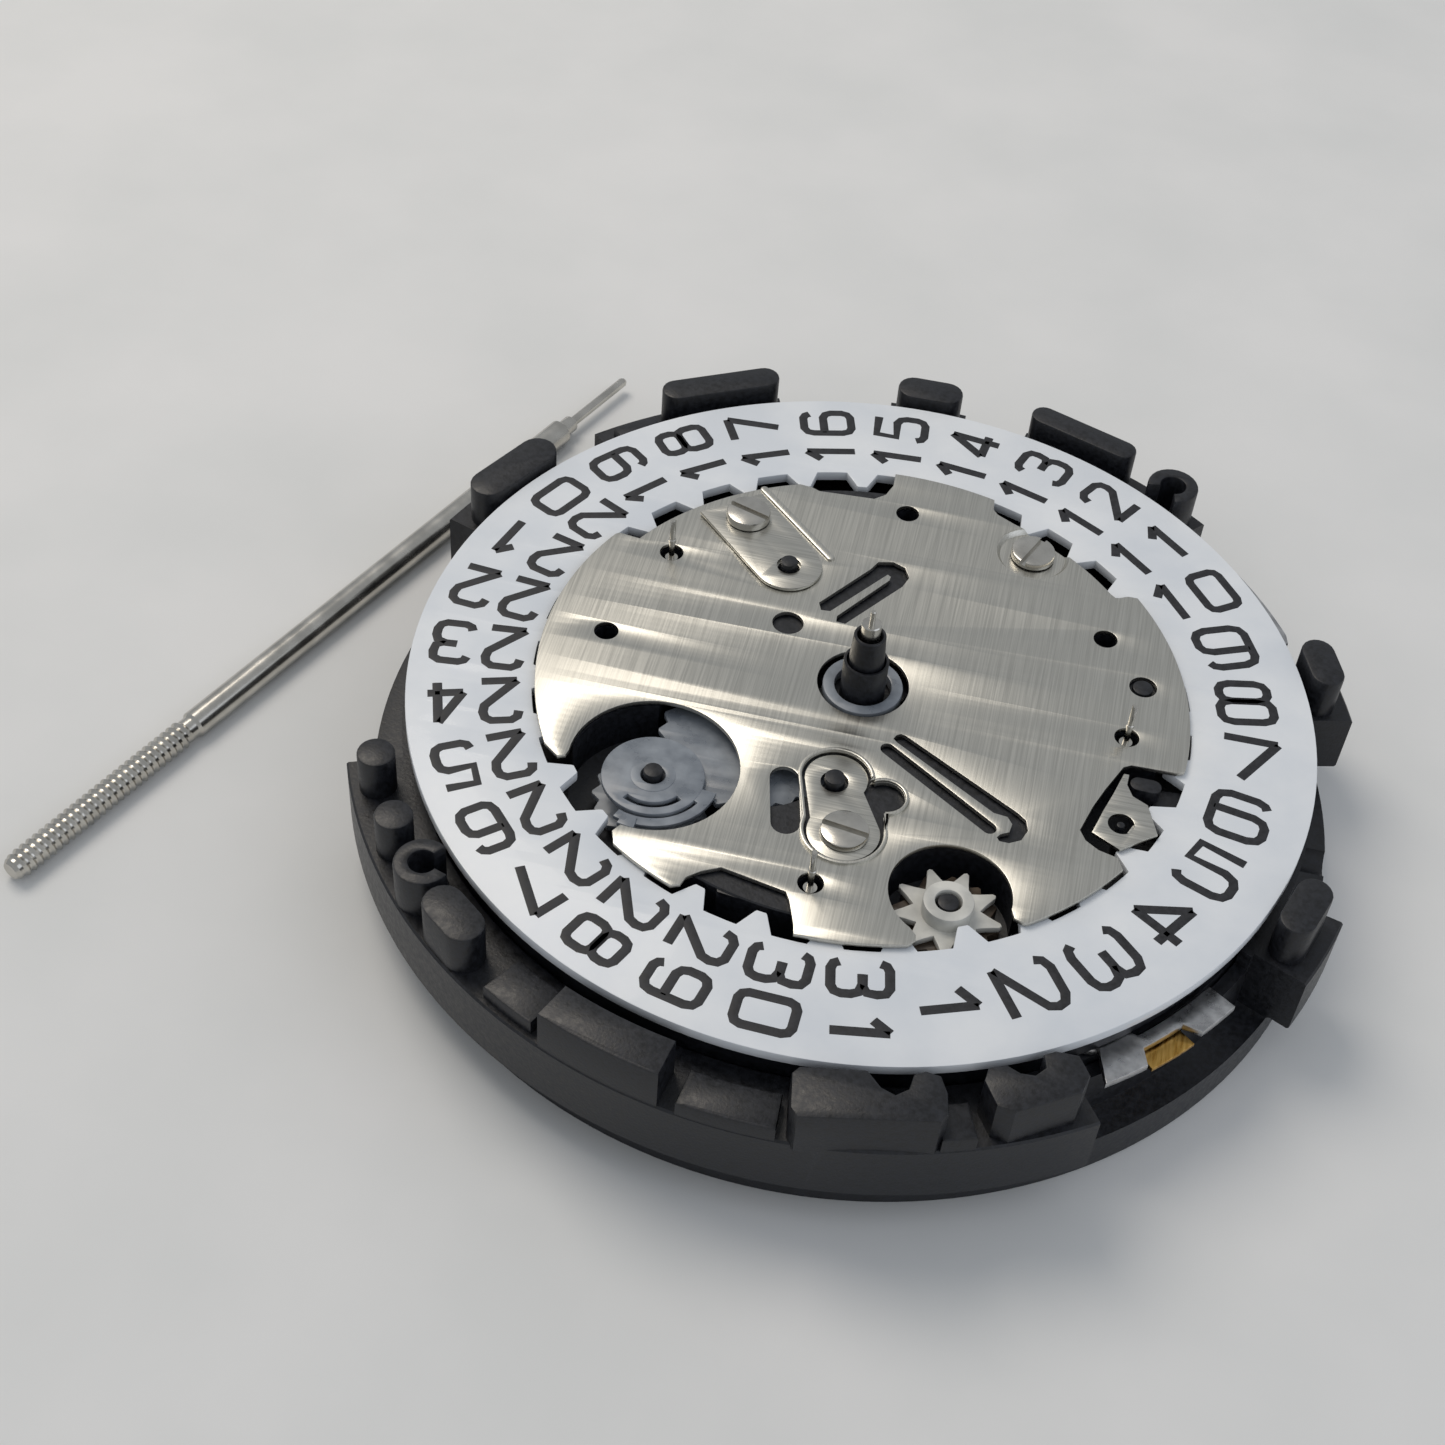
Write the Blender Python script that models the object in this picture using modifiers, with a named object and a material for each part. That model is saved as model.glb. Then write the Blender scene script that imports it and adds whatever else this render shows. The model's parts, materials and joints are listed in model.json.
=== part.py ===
"""Calendar watch movement seated in its moulded holder ring, dial side up, with its winding stem.

The design is drawn in millimetres and scaled to metres as each solid is made.
The movement's axis is Z, the case rest face is z = 0, and 3 o'clock (the stem) is +X.
"""
import math

import bmesh
import bpy
from mathutils import Matrix

MM = 0.001
MERGE = 1e-7

# ---------------------------------------------------------------- driving dimensions
DATE_RADIUS = 13.6         # outer radius of the date ring
DATE_TEETH = 31
DATE_THICKNESS = 0.35
DATE_PHASE = 100.5         # angle of one tooth, degrees
TOOTH_DEPTH = 0.68
GUARD_RADIUS = 9.8         # outer radius of the guard plate
GUARD_THICKNESS = 0.15
HAND_RADIUS = 7.95         # distance of the small hands' arbors from the centre

POST_GAP = 0.15            # date ring to the holder's posts
POST_DEPTH = 1.65          # radial room for the posts
SKIRT_STEP = 0.7           # the case seat is this much smaller than the flange
BACK_HEIGHT = 2.45         # rest face to the underside of the main plate
FLOOR_THICKNESS = 1.05
PLATFORM_HEIGHT = 1.35     # calendar platform above the floor
POST_HEIGHT = 1.45
LIP_THICKNESS = 0.9
LIP_WIDTH = 0.7
STEM_RADIUS = 0.45
STEM_LENGTH = 30.0
STEM_HEADING = 67.6

# angles between which the flange is left out, so that the posts there stand alone
FLANGE_GAPS = [(-55.0, -25.4), (-15.4, 15.4), (24.5, 51.3), (78.0, 86.3), (96.2, 111.0),
               (136.5, 145.5), (161.0, 203.0)]

FIT = 0.05                 # clearance between pieces that touch
PIVOT_FIT = 0.08           # radial clearance round a pin or a shank
GAP = 0.1                  # running clearance beside a wheel

BATTERY_RADIUS = 3.95
BATTERY_HEIGHT = 2.1
BATTERY_AT = (2.9, 7.6)

# ---------------------------------------------------------------- derived sizes
HOLDER_RADIUS = DATE_RADIUS + POST_GAP + POST_DEPTH
STEM_AT = (-HOLDER_RADIUS - 7.9, -10.2)
PLATE_RADIUS = DATE_RADIUS - 0.3
FLOOR_TOP = BACK_HEIGHT + FLOOR_THICKNESS
PLATFORM_TOP = FLOOR_TOP + PLATFORM_HEIGHT
POCKET_FLOOR = FLOOR_TOP - 0.1
GUARD_BOTTOM = PLATFORM_TOP + FIT
GUARD_TOP = GUARD_BOTTOM + GUARD_THICKNESS
DATE_TOP = GUARD_BOTTOM - FIT
DATE_BOTTOM = DATE_TOP - DATE_THICKNESS
ROOT_RADIUS = GUARD_RADIUS + 0.08
TIP_RADIUS = ROOT_RADIUS - TOOTH_DEPTH
PLATFORM_RADIUS = TIP_RADIUS - 0.2
CUT_RADIUS = TIP_RADIUS - 0.08
LEDGE_TOP = FLOOR_TOP + 0.1
POST_TOP = LEDGE_TOP + POST_HEIGHT
FLANGE_BOTTOM = BACK_HEIGHT - 0.95

COVER_BOTTOM = 0.30
COVER_TOP = 0.50
BOARD_BOTTOM = COVER_TOP + FIT
BOARD_TOP = BOARD_BOTTOM + 0.20
BRIDGE_BOTTOM = BOARD_TOP + FIT
BRIDGE_TOP = BRIDGE_BOTTOM + 0.15
ARBOR_BOTTOM = BRIDGE_TOP + FIT
ARBOR_TOP = BACK_HEIGHT - FIT
LEVEL_STEP = 0.28
WHEEL_THICKNESS = 0.14
LEVELS = [ARBOR_BOTTOM + 0.08 + LEVEL_STEP * k for k in range(4)]
BACK_RADIUS = DATE_RADIUS - 1.1

SCREW_PLACES = [(-6.2, 9.8), (-10.9, -3.8), (1.7, -11.4), (6.3, -9.8)]
SCREW_SHANK = 0.3
SCREW_HEAD = 0.62
PILLAR_RADIUS = 0.85

# ---------------------------------------------------------------- plan helpers


def polar(radius, degrees, centre=(0.0, 0.0)):
    a = math.radians(degrees)
    return (centre[0] + radius * math.cos(a), centre[1] + radius * math.sin(a))


def arc(radius, start, end, steps, centre=(0.0, 0.0)):
    """Points from the start angle to the end angle, both included."""
    return [polar(radius, start + (end - start) * k / steps, centre) for k in range(steps + 1)]


def circle(radius, centre=(0.0, 0.0), steps=16):
    return arc(radius, 0, 360 - 360 / steps, steps - 1, centre)


def capsule(p, q, half_width, steps=4):
    """Outline of a bar with round ends at p and q."""
    a = math.degrees(math.atan2(q[1] - p[1], q[0] - p[0]))
    return arc(half_width, a - 90, a + 90, steps, q) + arc(half_width, a + 90, a + 270, steps, p)


def sector(inner, outer, start, end, steps=4):
    """Outline of a piece of a ring."""
    return arc(outer, start, end, steps) + arc(inner, end, start, steps)


def open_ring(inner, outer, opening, half_gap, centre, steps=10):
    """Outline of a ring with a gap that faces the angle called opening."""
    start, end = opening + half_gap, opening + 360 - half_gap
    return arc(outer, start, end, steps, centre) + arc(inner, end, start, steps, centre)


def local(points, radius, degrees):
    """Plan points of a shape given as (along the tangent, outwards from the radius)."""
    a = math.radians(degrees)
    out = []
    for along, outwards in points:
        x, y = radius + outwards, along
        out.append((x * math.cos(a) - y * math.sin(a), x * math.sin(a) + y * math.cos(a)))
    return out


def gear(teeth, pitch_radius, centre, facing=0.0, gap_faces=False, depth=0.12):
    """Plan of a gear with a tooth, or a gap, that faces the given angle."""
    step = 360.0 / teeth
    phase = facing + (step / 2 if gap_faces else 0.0)
    points = []
    for k in range(teeth):
        a = phase + k * step
        points.append(polar(pitch_radius - depth, a - step / 2, centre))
        points.append(polar(pitch_radius + depth * 0.8, a, centre))
    return points


def meet(p, p_distance, q, q_distance, side):
    """The point at p_distance from p and q_distance from q, left or right of the line p to q."""
    dx, dy = q[0] - p[0], q[1] - p[1]
    span = math.hypot(dx, dy)
    along = (p_distance ** 2 - q_distance ** 2 + span ** 2) / (2 * span)
    across = side * math.sqrt(max(p_distance ** 2 - along ** 2, 0.0))
    return (p[0] + (dx * along - dy * across) / span, p[1] + (dy * along + dx * across) / span)


def bearing(p, q):
    return math.degrees(math.atan2(q[1] - p[1], q[0] - p[0]))


# ---------------------------------------------------------------- solid helpers


def clear_scene():
    for obj in list(bpy.data.objects):
        bpy.data.objects.remove(obj, do_unlink=True)


def make_collection(name):
    collection = bpy.data.collections.new(name)
    bpy.context.scene.collection.children.link(collection)
    return collection


clear_scene()
PARTS = make_collection("watch_movement_holder")
CUTTERS = make_collection("cutters")


def material(name, colour, roughness, metallic=0.0):
    mat = bpy.data.materials.new(name)
    mat.use_nodes = True
    shader = mat.node_tree.nodes["Principled BSDF"]
    shader.inputs["Base Color"].default_value = (*colour, 1.0)
    shader.inputs["Roughness"].default_value = roughness
    shader.inputs["Metallic"].default_value = metallic
    mat.diffuse_color = (*colour, 1.0)
    return mat


BLACK = material("black_moulding", (0.02, 0.021, 0.024), 0.5)
WHITE = material("white_print_ring", (0.82, 0.84, 0.86), 0.45)
STEEL = material("brushed_steel", (0.68, 0.67, 0.63), 0.32, 1.0)
BRIGHT = material("bright_steel", (0.75, 0.74, 0.72), 0.2, 1.0)
CLEAR = material("natural_nylon", (0.42, 0.43, 0.46), 0.35)
IVORY = material("white_acetal", (0.80, 0.80, 0.77), 0.4)
BRASS = material("brass", (0.72, 0.53, 0.22), 0.3, 1.0)
COPPER = material("copper_wire", (0.60, 0.26, 0.12), 0.35, 1.0)
IRON = material("soft_iron", (0.45, 0.45, 0.46), 0.4, 1.0)
BOARD = material("board_green", (0.03, 0.16, 0.09), 0.5)


def place(mesh, name, origin, mat):
    """Give a mesh drawn in millimetres its object, in metres, with its origin at the given point."""
    mesh.transform(Matrix.Translation((-origin[0], -origin[1], -origin[2])))
    mesh.transform(Matrix.Scale(MM, 4))
    obj = bpy.data.objects.new(name, mesh)
    obj.location = [value * MM for value in origin]
    if mat:
        mesh.materials.clear()
        mesh.materials.append(mat)
    PARTS.objects.link(obj)
    return obj


def prism(name, loops, bottom, top, mat=None, origin=(0.0, 0.0, 0.0)):
    """Solid between two heights whose plan is the first loop less the loops inside it."""
    curve = bpy.data.curves.new(name, "CURVE")
    curve.dimensions = "2D"
    curve.fill_mode = "BOTH"
    curve.extrude = (top - bottom) / 2
    for loop in loops:
        spline = curve.splines.new("POLY")
        spline.points.add(len(loop) - 1)
        for point, (x, y) in zip(spline.points, loop):
            point.co = (x, y, 0.0, 1.0)
        spline.use_cyclic_u = True
    guide = bpy.data.objects.new(name, curve)
    bpy.context.scene.collection.objects.link(guide)
    graph = bpy.context.evaluated_depsgraph_get()
    mesh = bpy.data.meshes.new_from_object(guide.evaluated_get(graph))
    bpy.data.objects.remove(guide, do_unlink=True)
    bpy.data.curves.remove(curve)
    mesh.name = name
    mesh.transform(Matrix.Translation((0, 0, (top + bottom) / 2)))
    shell = bmesh.new()
    shell.from_mesh(mesh)
    bmesh.ops.remove_doubles(shell, verts=shell.verts, dist=1e-5)
    bmesh.ops.recalc_face_normals(shell, faces=shell.faces)
    shell.to_mesh(mesh)
    shell.free()
    return place(mesh, name, origin, mat)


def turned(name, profile, steps, at=(0.0, 0.0), mat=None, closed=False):
    """Solid of revolution: (radius, height) points run down the outer side, top to bottom."""
    mesh = bpy.data.meshes.new(name)
    edges = [(k, k + 1) for k in range(len(profile) - 1)]
    if closed:
        edges.append((len(profile) - 1, 0))
    mesh.from_pydata([(r, 0.0, z) for r, z in profile], edges, [])
    mesh.transform(Matrix.Scale(MM, 4))
    obj = bpy.data.objects.new(name, mesh)
    obj.location = (at[0] * MM, at[1] * MM, 0.0)
    PARTS.objects.link(obj)
    screw = obj.modifiers.new("turn", "SCREW")
    screw.steps = steps
    screw.render_steps = steps
    screw.use_merge_vertices = True
    screw.merge_threshold = MERGE
    screw.use_smooth_shade = False
    if mat:
        mesh.materials.append(mat)
    return obj


def combine(target, tool, operation):
    modifier = target.modifiers.new(operation.lower(), "BOOLEAN")
    modifier.operation = operation
    modifier.solver = "EXACT"
    modifier.object = tool
    PARTS.objects.unlink(tool)
    CUTTERS.objects.link(tool)
    tool.hide_render = True
    tool.display_type = "WIRE"
    return target


def unite(target, *tools):
    for tool in tools:
        combine(target, tool, "UNION")
    return target


def cut(target, *tools):
    for tool in tools:
        combine(target, tool, "DIFFERENCE")
    return target


# ---------------------------------------------------------------- places of the arbors

CENTRE = (0.0, 0.0)
HAND_3 = polar(HAND_RADIUS, 0)
HAND_6 = polar(HAND_RADIUS, -90)
HAND_10 = polar(HAND_RADIUS, 150)
SPARE_HOLES = [polar(HAND_RADIUS, a) for a in (30, 90, 180)]
ARBOR_BORE = 0.37
CENTRE_BORE = 0.80

DATE_WHEEL_AT = (-5.20, -5.05)
DATE_POCKET = ((-5.23, -4.87), 2.49)
STAR_AT = (3.80, -7.45)
STAR_POCKET = ((3.80, -7.25), 1.73)
JUMPER_AT = (8.14, -3.40)
JUMPER_FOOT = (8.10, -1.60)
HOUR_TO_DATE = math.hypot(*DATE_WHEEL_AT)
MINUTE_WHEEL_AT = polar(2.4, 20)

# date drive: 12 teeth on the hour wheel, 24 and 16 on the intermediate, 16 on the driving wheel
HOUR_DATE_PITCH = HOUR_TO_DATE * 0.181
INTER_PITCH = HOUR_DATE_PITCH * 2
DATE_DRIVE_PITCH = (HOUR_TO_DATE - HOUR_DATE_PITCH - INTER_PITCH) / 2
DATE_INTER_AT = polar(HOUR_DATE_PITCH + INTER_PITCH, bearing(CENTRE, DATE_WHEEL_AT))

# going train, module 0.17: seconds pinion 6 - third 24, pinion 6 - drive 24, pinion 8 - idler 12
# - centre wheel 30, so that 60 turns of the seconds give one of the minutes, the same way round
TRAIN = 0.085
IDLER_AT = polar(TRAIN * 42, -95)
DRIVE_AT = polar(TRAIN * 20, -30, IDLER_AT)
THIRD_AT = meet(HAND_6, TRAIN * 30, DRIVE_AT, TRAIN * 30, -1)

# stepping motors: arbor wheel 16, intermediate pinion 6 and wheel 16, rotor pinion 6
HAND_MODULE = 0.09
ROTOR_MODULE = 0.075
MOTORS = {
    "seconds": dict(arbor=HAND_6, swing=-145, reach=170, bar=165, side=-1, start=-1.5, end=4.0),
    "chrono": dict(arbor=CENTRE, swing=150, reach=120, bar=105, side=1, start=-1.4, end=3.6),
    "counter_10": dict(arbor=HAND_10, swing=205, reach=255, bar=-90, side=1, start=-1.2, end=3.8),
    "counter_3": dict(arbor=HAND_3, swing=-100, reach=-60, bar=-50, side=-1, start=-1.3, end=3.5),
}
for motor in MOTORS.values():
    motor["inter"] = polar(HAND_MODULE * 22, motor["swing"], motor["arbor"])
    motor["rotor"] = polar(ROTOR_MODULE * 22, motor["reach"], motor["inter"])

# ---------------------------------------------------------------- holder ring


def holder_ring():
    """Moulded ring that carries the movement in its case, with its seat, lip and posts."""
    seat = PLATE_RADIUS + FIT
    lip_inner = seat - LIP_WIDTH
    lip_top = BACK_HEIGHT - FIT
    skirt = HOLDER_RADIUS - SKIRT_STEP
    profile = [
        (seat, LEDGE_TOP), (HOLDER_RADIUS, LEDGE_TOP), (HOLDER_RADIUS, FLANGE_BOTTOM),
        (skirt, FLANGE_BOTTOM), (skirt, 0.0), (seat, 0.0), (seat, lip_top - LIP_THICKNESS),
        (lip_inner, lip_top - LIP_THICKNESS), (lip_inner, lip_top), (seat, lip_top),
    ]
    ring = turned("holder_ring", profile, 44, mat=BLACK, closed=True)
    unite(ring, *[prism("post", [loop], LEDGE_TOP - 0.2, top) for loop, top in post_loops()])
    hole = prism("stem_way", [circle(STEM_RADIUS + 0.15, (0, 0), 12)], 0, 4.0)
    hole.rotation_euler = (0, math.radians(90), 0)
    hole.location = (12.4 * MM, 0, STEM_HEIGHT * MM)
    cut(ring, hole)
    side, bottom = LEVERS[1]
    start, end = sorted((side * LEVER_START, side * LEVER_END))
    window = sector(12.0, HOLDER_RADIUS + 1, start, end, 6)
    cut(ring, prism("lever_window", [window], bottom - 0.30, LEDGE_TOP + 0.3))
    for start, end in FLANGE_GAPS:
        gap = sector(HOLDER_RADIUS - 1.65, HOLDER_RADIUS + 1, start, end, 5)
        cut(ring, prism("flange_gap", [gap], FLANGE_BOTTOM - 0.1, LEDGE_TOP + 0.4))
    return ring


def post_loops():
    """Plan and top height of each post, tab and hook that stands on the ring."""
    mid = DATE_RADIUS + POST_GAP + POST_DEPTH / 2 - 0.05
    inner = DATE_RADIUS + POST_GAP
    outer = HOLDER_RADIUS
    low = LEDGE_TOP + 0.5
    hook = [(-2.05, 0.45), (-1.85, 0.25), (-0.1, 0.25), (0.25, 0.75), (0.6, 0.95), (0.95, 0.75),
            (1.1, 0.3), (1.4, 0.17), (1.8, 0.3), (1.95, 0.8), (1.95, 1.45), (1.75, 1.7),
            (-1.9, 1.78), (-2.08, 1.5)]
    claw = [(-1.35, 0.6), (-1.1, 0.25), (-0.6, 0.3), (-0.35, 0.6), (0.0, 0.75), (0.35, 0.6),
            (0.45, 0.2), (0.8, 0.17), (1.35, 0.45), (1.4, 1.1), (1.0, 1.55), (-0.9, 1.7),
            (-1.3, 1.4)]
    return [
        (capsule(polar(mid - 0.1, 157.5), polar(mid - 0.1, 148.5), 0.62), POST_TOP),
        (sector(inner, outer - 0.6, 129, 135, 2), low),
        (capsule(polar(outer - 0.62, 125.9), polar(outer - 0.62, 113.7), 0.5), POST_TOP),
        (capsule(polar(mid, 93.4), polar(mid, 89.0), 0.56), POST_TOP),
        (capsule(polar(outer - 0.6, 75.6), polar(outer - 0.6, 64.0), 0.44), POST_TOP),
        (open_ring(0.42, 0.84, 235, 42, polar(mid, 55.2), 7), POST_TOP),
        (capsule(polar(mid - 0.12, 21.8), polar(mid - 0.12, 18.0), 0.52), POST_TOP),
        (capsule(polar(mid - 0.12, -18.0), polar(mid - 0.12, -22.6), 0.52), POST_TOP),
        (local(claw, DATE_RADIUS, -61.4), POST_TOP),
        (local(hook, DATE_RADIUS, -78.6), POST_TOP),
        (sector(inner + 0.5, outer, -71.5, -68.0, 2), low),
        (sector(inner + 0.5, outer, -97.5, -87.5, 4), low),
        (sector(inner + 0.45, outer - 0.03, -113.0, -99.4, 5), POST_TOP),
        (sector(inner + 0.15, outer - 0.2, -121.0, -114.4, 3), low),
        (capsule(polar(mid + 0.2, -130.0), polar(mid + 0.2, -126.4), 0.6), POST_TOP),
        (open_ring(0.4, 0.82, 20, 38, polar(mid, -136.0), 7), POST_TOP),
        (circle(0.55, polar(mid + 0.1, -143.5), 14), POST_TOP),
        (circle(0.55, polar(mid + 0.05, -153.0), 14), POST_TOP),
    ]


# ---------------------------------------------------------------- main plate

LEVER_THICKNESS = 0.25
LEVERS = ((1, FLOOR_TOP + 0.22), (-1, FLOOR_TOP - 0.20))
LEVER_START, LEVER_END, LEVER_ANGLE = 26.0, 53.0, 50.0
LEVER_PIVOT = DATE_RADIUS - 0.9
SETTING_AT = (11.0, 1.8)
YOKE_AT = (10.6, -2.5)
STEM_HEIGHT = 1.72
CLAMP_PIN = (-3.18, 4.30)
CLAMP_SCREW = (-4.90, 6.12)
EIGHT_PIN = (-0.08, -4.05)
EIGHT_SCREW = (0.55, -5.90)
DISH_AT = (4.20, 7.22)
DISH_RADIUS = 1.30
DISH_DEPTH = 0.12
FLUSH_PIN = (8.22, 2.22)
STEP_HOLE = (-2.70, 1.90)


def main_plate():
    """Moulded plate: floor, date ring seat, calendar platform, pillars and pins."""
    seat_top, seat_inner = DATE_BOTTOM - FIT, PLATE_RADIUS - 1.3
    profile = [(0.0, PLATFORM_TOP), (PLATFORM_RADIUS, PLATFORM_TOP), (PLATFORM_RADIUS, FLOOR_TOP),
               (seat_inner, FLOOR_TOP), (seat_inner, seat_top), (PLATE_RADIUS, seat_top),
               (PLATE_RADIUS, BACK_HEIGHT), (0.0, BACK_HEIGHT)]
    floor = turned("main_plate", profile, 48, mat=BLACK)
    pockets = [(DATE_POCKET[1] - 0.02, DATE_POCKET[0], 18), (STAR_POCKET[1] + 0.1, STAR_POCKET[0], 14),
               (INTER_PITCH + 0.25, DATE_INTER_AT, 14), (2.3, CENTRE, 16),
               (2.0, MINUTE_WHEEL_AT, 14)]
    bay = [(7.0, -4.9), (9.4, -4.9), (9.4, -0.95), (7.0, -0.95)]
    cut(floor, *[prism("pocket", [circle(*pocket)], POCKET_FLOOR, PLATFORM_TOP + 1)
                 for pocket in pockets])
    cut(floor, prism("bay", [bay], POCKET_FLOOR + 0.35, PLATFORM_TOP + 1),
        prism("dish_way", [circle(DISH_RADIUS + 0.15, DISH_AT, 14)],
              GUARD_BOTTOM - DISH_DEPTH - 0.15, PLATFORM_TOP + 1))
    unite(floor, *platform_pins(), *plate_bars())
    unite(floor, *[prism("pillar", [circle(PILLAR_RADIUS, p, 8)], BRIDGE_TOP + FIT,
                         BACK_HEIGHT + 0.2) for p in SCREW_PLACES])
    for side, bottom in LEVERS:
        start, end = sorted((side * LEVER_START, side * LEVER_END))
        cut(floor, prism("lever_slot", [sector(11.9, 14.0, start, end, 6)], bottom - FIT,
                         bottom + LEVER_THICKNESS + FIT))
        unite(floor, prism("lever_pin", [circle(0.24, polar(LEVER_PIVOT, side * LEVER_ANGLE), 8)],
                           bottom - 0.2, bottom + LEVER_THICKNESS + 0.2))
    unite(floor, *[prism("pin", [circle(0.24, p, 8)], BRIDGE_TOP + FIT, BACK_HEIGHT + 0.2)
                   for p in (SETTING_AT, YOKE_AT)])
    ways = [(CENTRE, CENTRE_BORE, 0, GUARD_TOP)]
    ways += [(p, ARBOR_BORE, 0, GUARD_TOP) for p in (HAND_3, HAND_6, HAND_10)]
    ways += [(p, ARBOR_BORE, FLOOR_TOP + 0.3, GUARD_TOP) for p in SPARE_HOLES]
    ways += [(p, SCREW_SHANK + PIVOT_FIT, 0, FLOOR_TOP - 0.35) for p in SCREW_PLACES]
    ways += [(p, SCREW_SHANK + PIVOT_FIT, POCKET_FLOOR + 0.2, GUARD_TOP)
             for p in (CLAMP_SCREW, EIGHT_SCREW, DISH_AT)]
    return cut(floor, *[prism("way", [circle(r, p, 8)], low, high) for p, r, low, high in ways])


def platform_pins():
    """Pins that the calendar wheels turn on, and pins that locate the plates above."""
    pins = [
        (DATE_WHEEL_AT, 0.28, GUARD_BOTTOM + 0.1), (STAR_AT, 0.30, GUARD_BOTTOM),
        (DATE_INTER_AT, 0.35, PLATFORM_TOP - 0.1), (MINUTE_WHEEL_AT, 0.22, PLATFORM_TOP - 0.1),
        (JUMPER_AT, 0.12, GUARD_BOTTOM + 0.08), (CLAMP_PIN, 0.27, GUARD_TOP + 0.32),
        (EIGHT_PIN, 0.30, GUARD_TOP + 0.15), (FLUSH_PIN, 0.31, GUARD_TOP - 0.02),
    ]
    return [prism("pin", [circle(r, p, 8)], FLOOR_TOP - 0.3, top) for p, r, top in pins]


def plate_bars():
    """Bars and stops of the moulding that show in the guard plate's notches."""
    post = capsule((8.50, -1.62), (8.90, -1.62), 0.26, 4)
    ledge = [(9.02, -2.3), (9.02, -1.3), (9.85, -1.2), (9.8, -2.1)]
    upper = [(-3.1, 8.12), (-2.9, 8.75), (-1.1, 9.0), (-0.95, 8.75), (-1.4, 8.5)]
    lower = [(-2.6, -8.35), (-2.45, -8.75), (-0.75, -8.95), (-0.68, -8.6), (-0.9, -8.5)]
    return [
        prism("stop", [post], POCKET_FLOOR, GUARD_BOTTOM + 0.02),
        prism("stop", [ledge], FLOOR_TOP - 0.2, DATE_BOTTOM - FIT),
        prism("stop", [upper], FLOOR_TOP - 0.2, DATE_BOTTOM - FIT),
        prism("stop", [lower], FLOOR_TOP - 0.2, PLATFORM_TOP - 0.05),
    ]


# ---------------------------------------------------------------- calendar


def date_ring():
    """Flat ring with 31 inward teeth."""
    step = 360.0 / DATE_TEETH
    inner = []
    for k in range(DATE_TEETH):
        a = DATE_PHASE + k * step
        inner += [polar(ROOT_RADIUS, a - 2.95), polar(TIP_RADIUS, a - 1.0),
                  polar(TIP_RADIUS, a + 1.0), polar(ROOT_RADIUS, a + 2.95)]
    return prism("date_ring", [circle(DATE_RADIUS, CENTRE, 62), inner],
                 DATE_BOTTOM, DATE_TOP, WHITE)


def guard_outline():
    """Rim of the guard plate, counter-clockwise from 3 o'clock, with its notches."""
    rim, cut_back = GUARD_RADIUS, CUT_RADIUS
    grow = GUARD_RADIUS - 9.8
    at_rim = [polar(rim - 0.02, a) for a in (-5.4,)]
    notch_12 = local([(-0.05, -0.6), (0.15, -1.1), (0.5, -1.38), (2.3, -1.38), (2.55, -1.25)],
                     rim, 94.6)
    return (
        at_rim + arc(rim, -4.5, 38.5, 9)
        + [polar(rim - 0.25, 39.6), polar(cut_back + 0.05, 40.0)]
        + arc(cut_back, 41.5, 68.0, 6)
        + [(2.85, 8.75), (2.68, 8.95), (2.66, 9.25 + grow)]
        + arc(rim, 74.4, 94.2, 5) + notch_12
        + arc(cut_back, 113.5, 148.0, 7) + [(-8.02, 4.32), polar(rim - 0.05, 153.2)]
        + arc(rim, 154.0, 210.2, 12)
        + [polar(rim - 0.1, 211.8), (-7.98, -5.32), (-7.76, -5.22)]
        + arc(DATE_POCKET[1], 183.5, -98.0, 16, DATE_POCKET[0])
        + [(-5.74, -7.62), polar(rim - 0.08, -125.4)]
        + arc(rim, -124.8, -112.2, 3)
        + [(-3.45, -8.95), (-3.36, -8.68), (-2.5, -8.08), (-0.6, -8.43), (-0.45, -8.7)]
        + [(-0.17, -9.5)]
        + arc(rim, -90.6, -72.4, 4) + [(3.14, -9.16), (3.12, -8.95)]
        + arc(STAR_POCKET[1], 239.0, -4.0, 13, STAR_POCKET[0])
        + [(5.64, -7.66), polar(rim - 0.06, -52.6)]
        + arc(rim, -52.0, -31.4, 4)
        + [(8.18, -4.72), (7.62, -4.58), (7.22, -4.32), (7.02, -3.98), (7.28, -3.0)]
        + [(7.55, -2.25), (7.98, -1.22), (8.2, -1.08), (9.5, -1.02)]
    )


def guard_holes():
    """Loops inside the guard plate: bores, slots round the spring tongues, clamp recess."""
    holes = [circle(1.38, CENTRE, 20)]
    holes += [circle(ARBOR_BORE, p, 8) for p in [HAND_3, HAND_6, HAND_10] + SPARE_HOLES]
    holes += [circle(0.48, STEP_HOLE, 10), circle(0.42, FLUSH_PIN, 10)]
    holes += [circle(0.35, CLAMP_PIN, 8), circle(SCREW_SHANK + PIVOT_FIT, CLAMP_SCREW, 8)]
    holes.append(eight_loop(0.08))
    holes.append([(-1.95, 3.05), (-1.83, 2.75), (-1.55, 2.78), (-0.12, 4.92), (0.0, 4.84),
                  (-0.02, 4.66), (-1.30, 2.62), (-1.28, 2.38), (-1.0, 2.36), (0.42, 4.5),
                  (0.56, 4.95), (0.36, 5.38), (-0.04, 5.53), (-0.5, 5.4), (-0.68, 5.0)])
    holes.append([(1.33, -1.83), (1.45, -1.73), (1.60, -1.76), (5.20, -3.83), (5.48, -4.05),
                  (5.58, -4.42), (5.44, -4.82), (5.12, -5.02), (4.85, -5.02), (4.76, -4.9),
                  (4.85, -4.76), (5.08, -4.62), (5.12, -4.3), (4.95, -4.06), (4.55, -4.02),
                  (1.42, -2.1), (1.28, -1.98)])
    holes.append(capsule((1.18, -2.42), (4.50, -4.62), 0.21, 4))
    holes.append(capsule((-1.50, -4.35), (-1.12, -6.0), 0.42, 4))
    return holes


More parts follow.
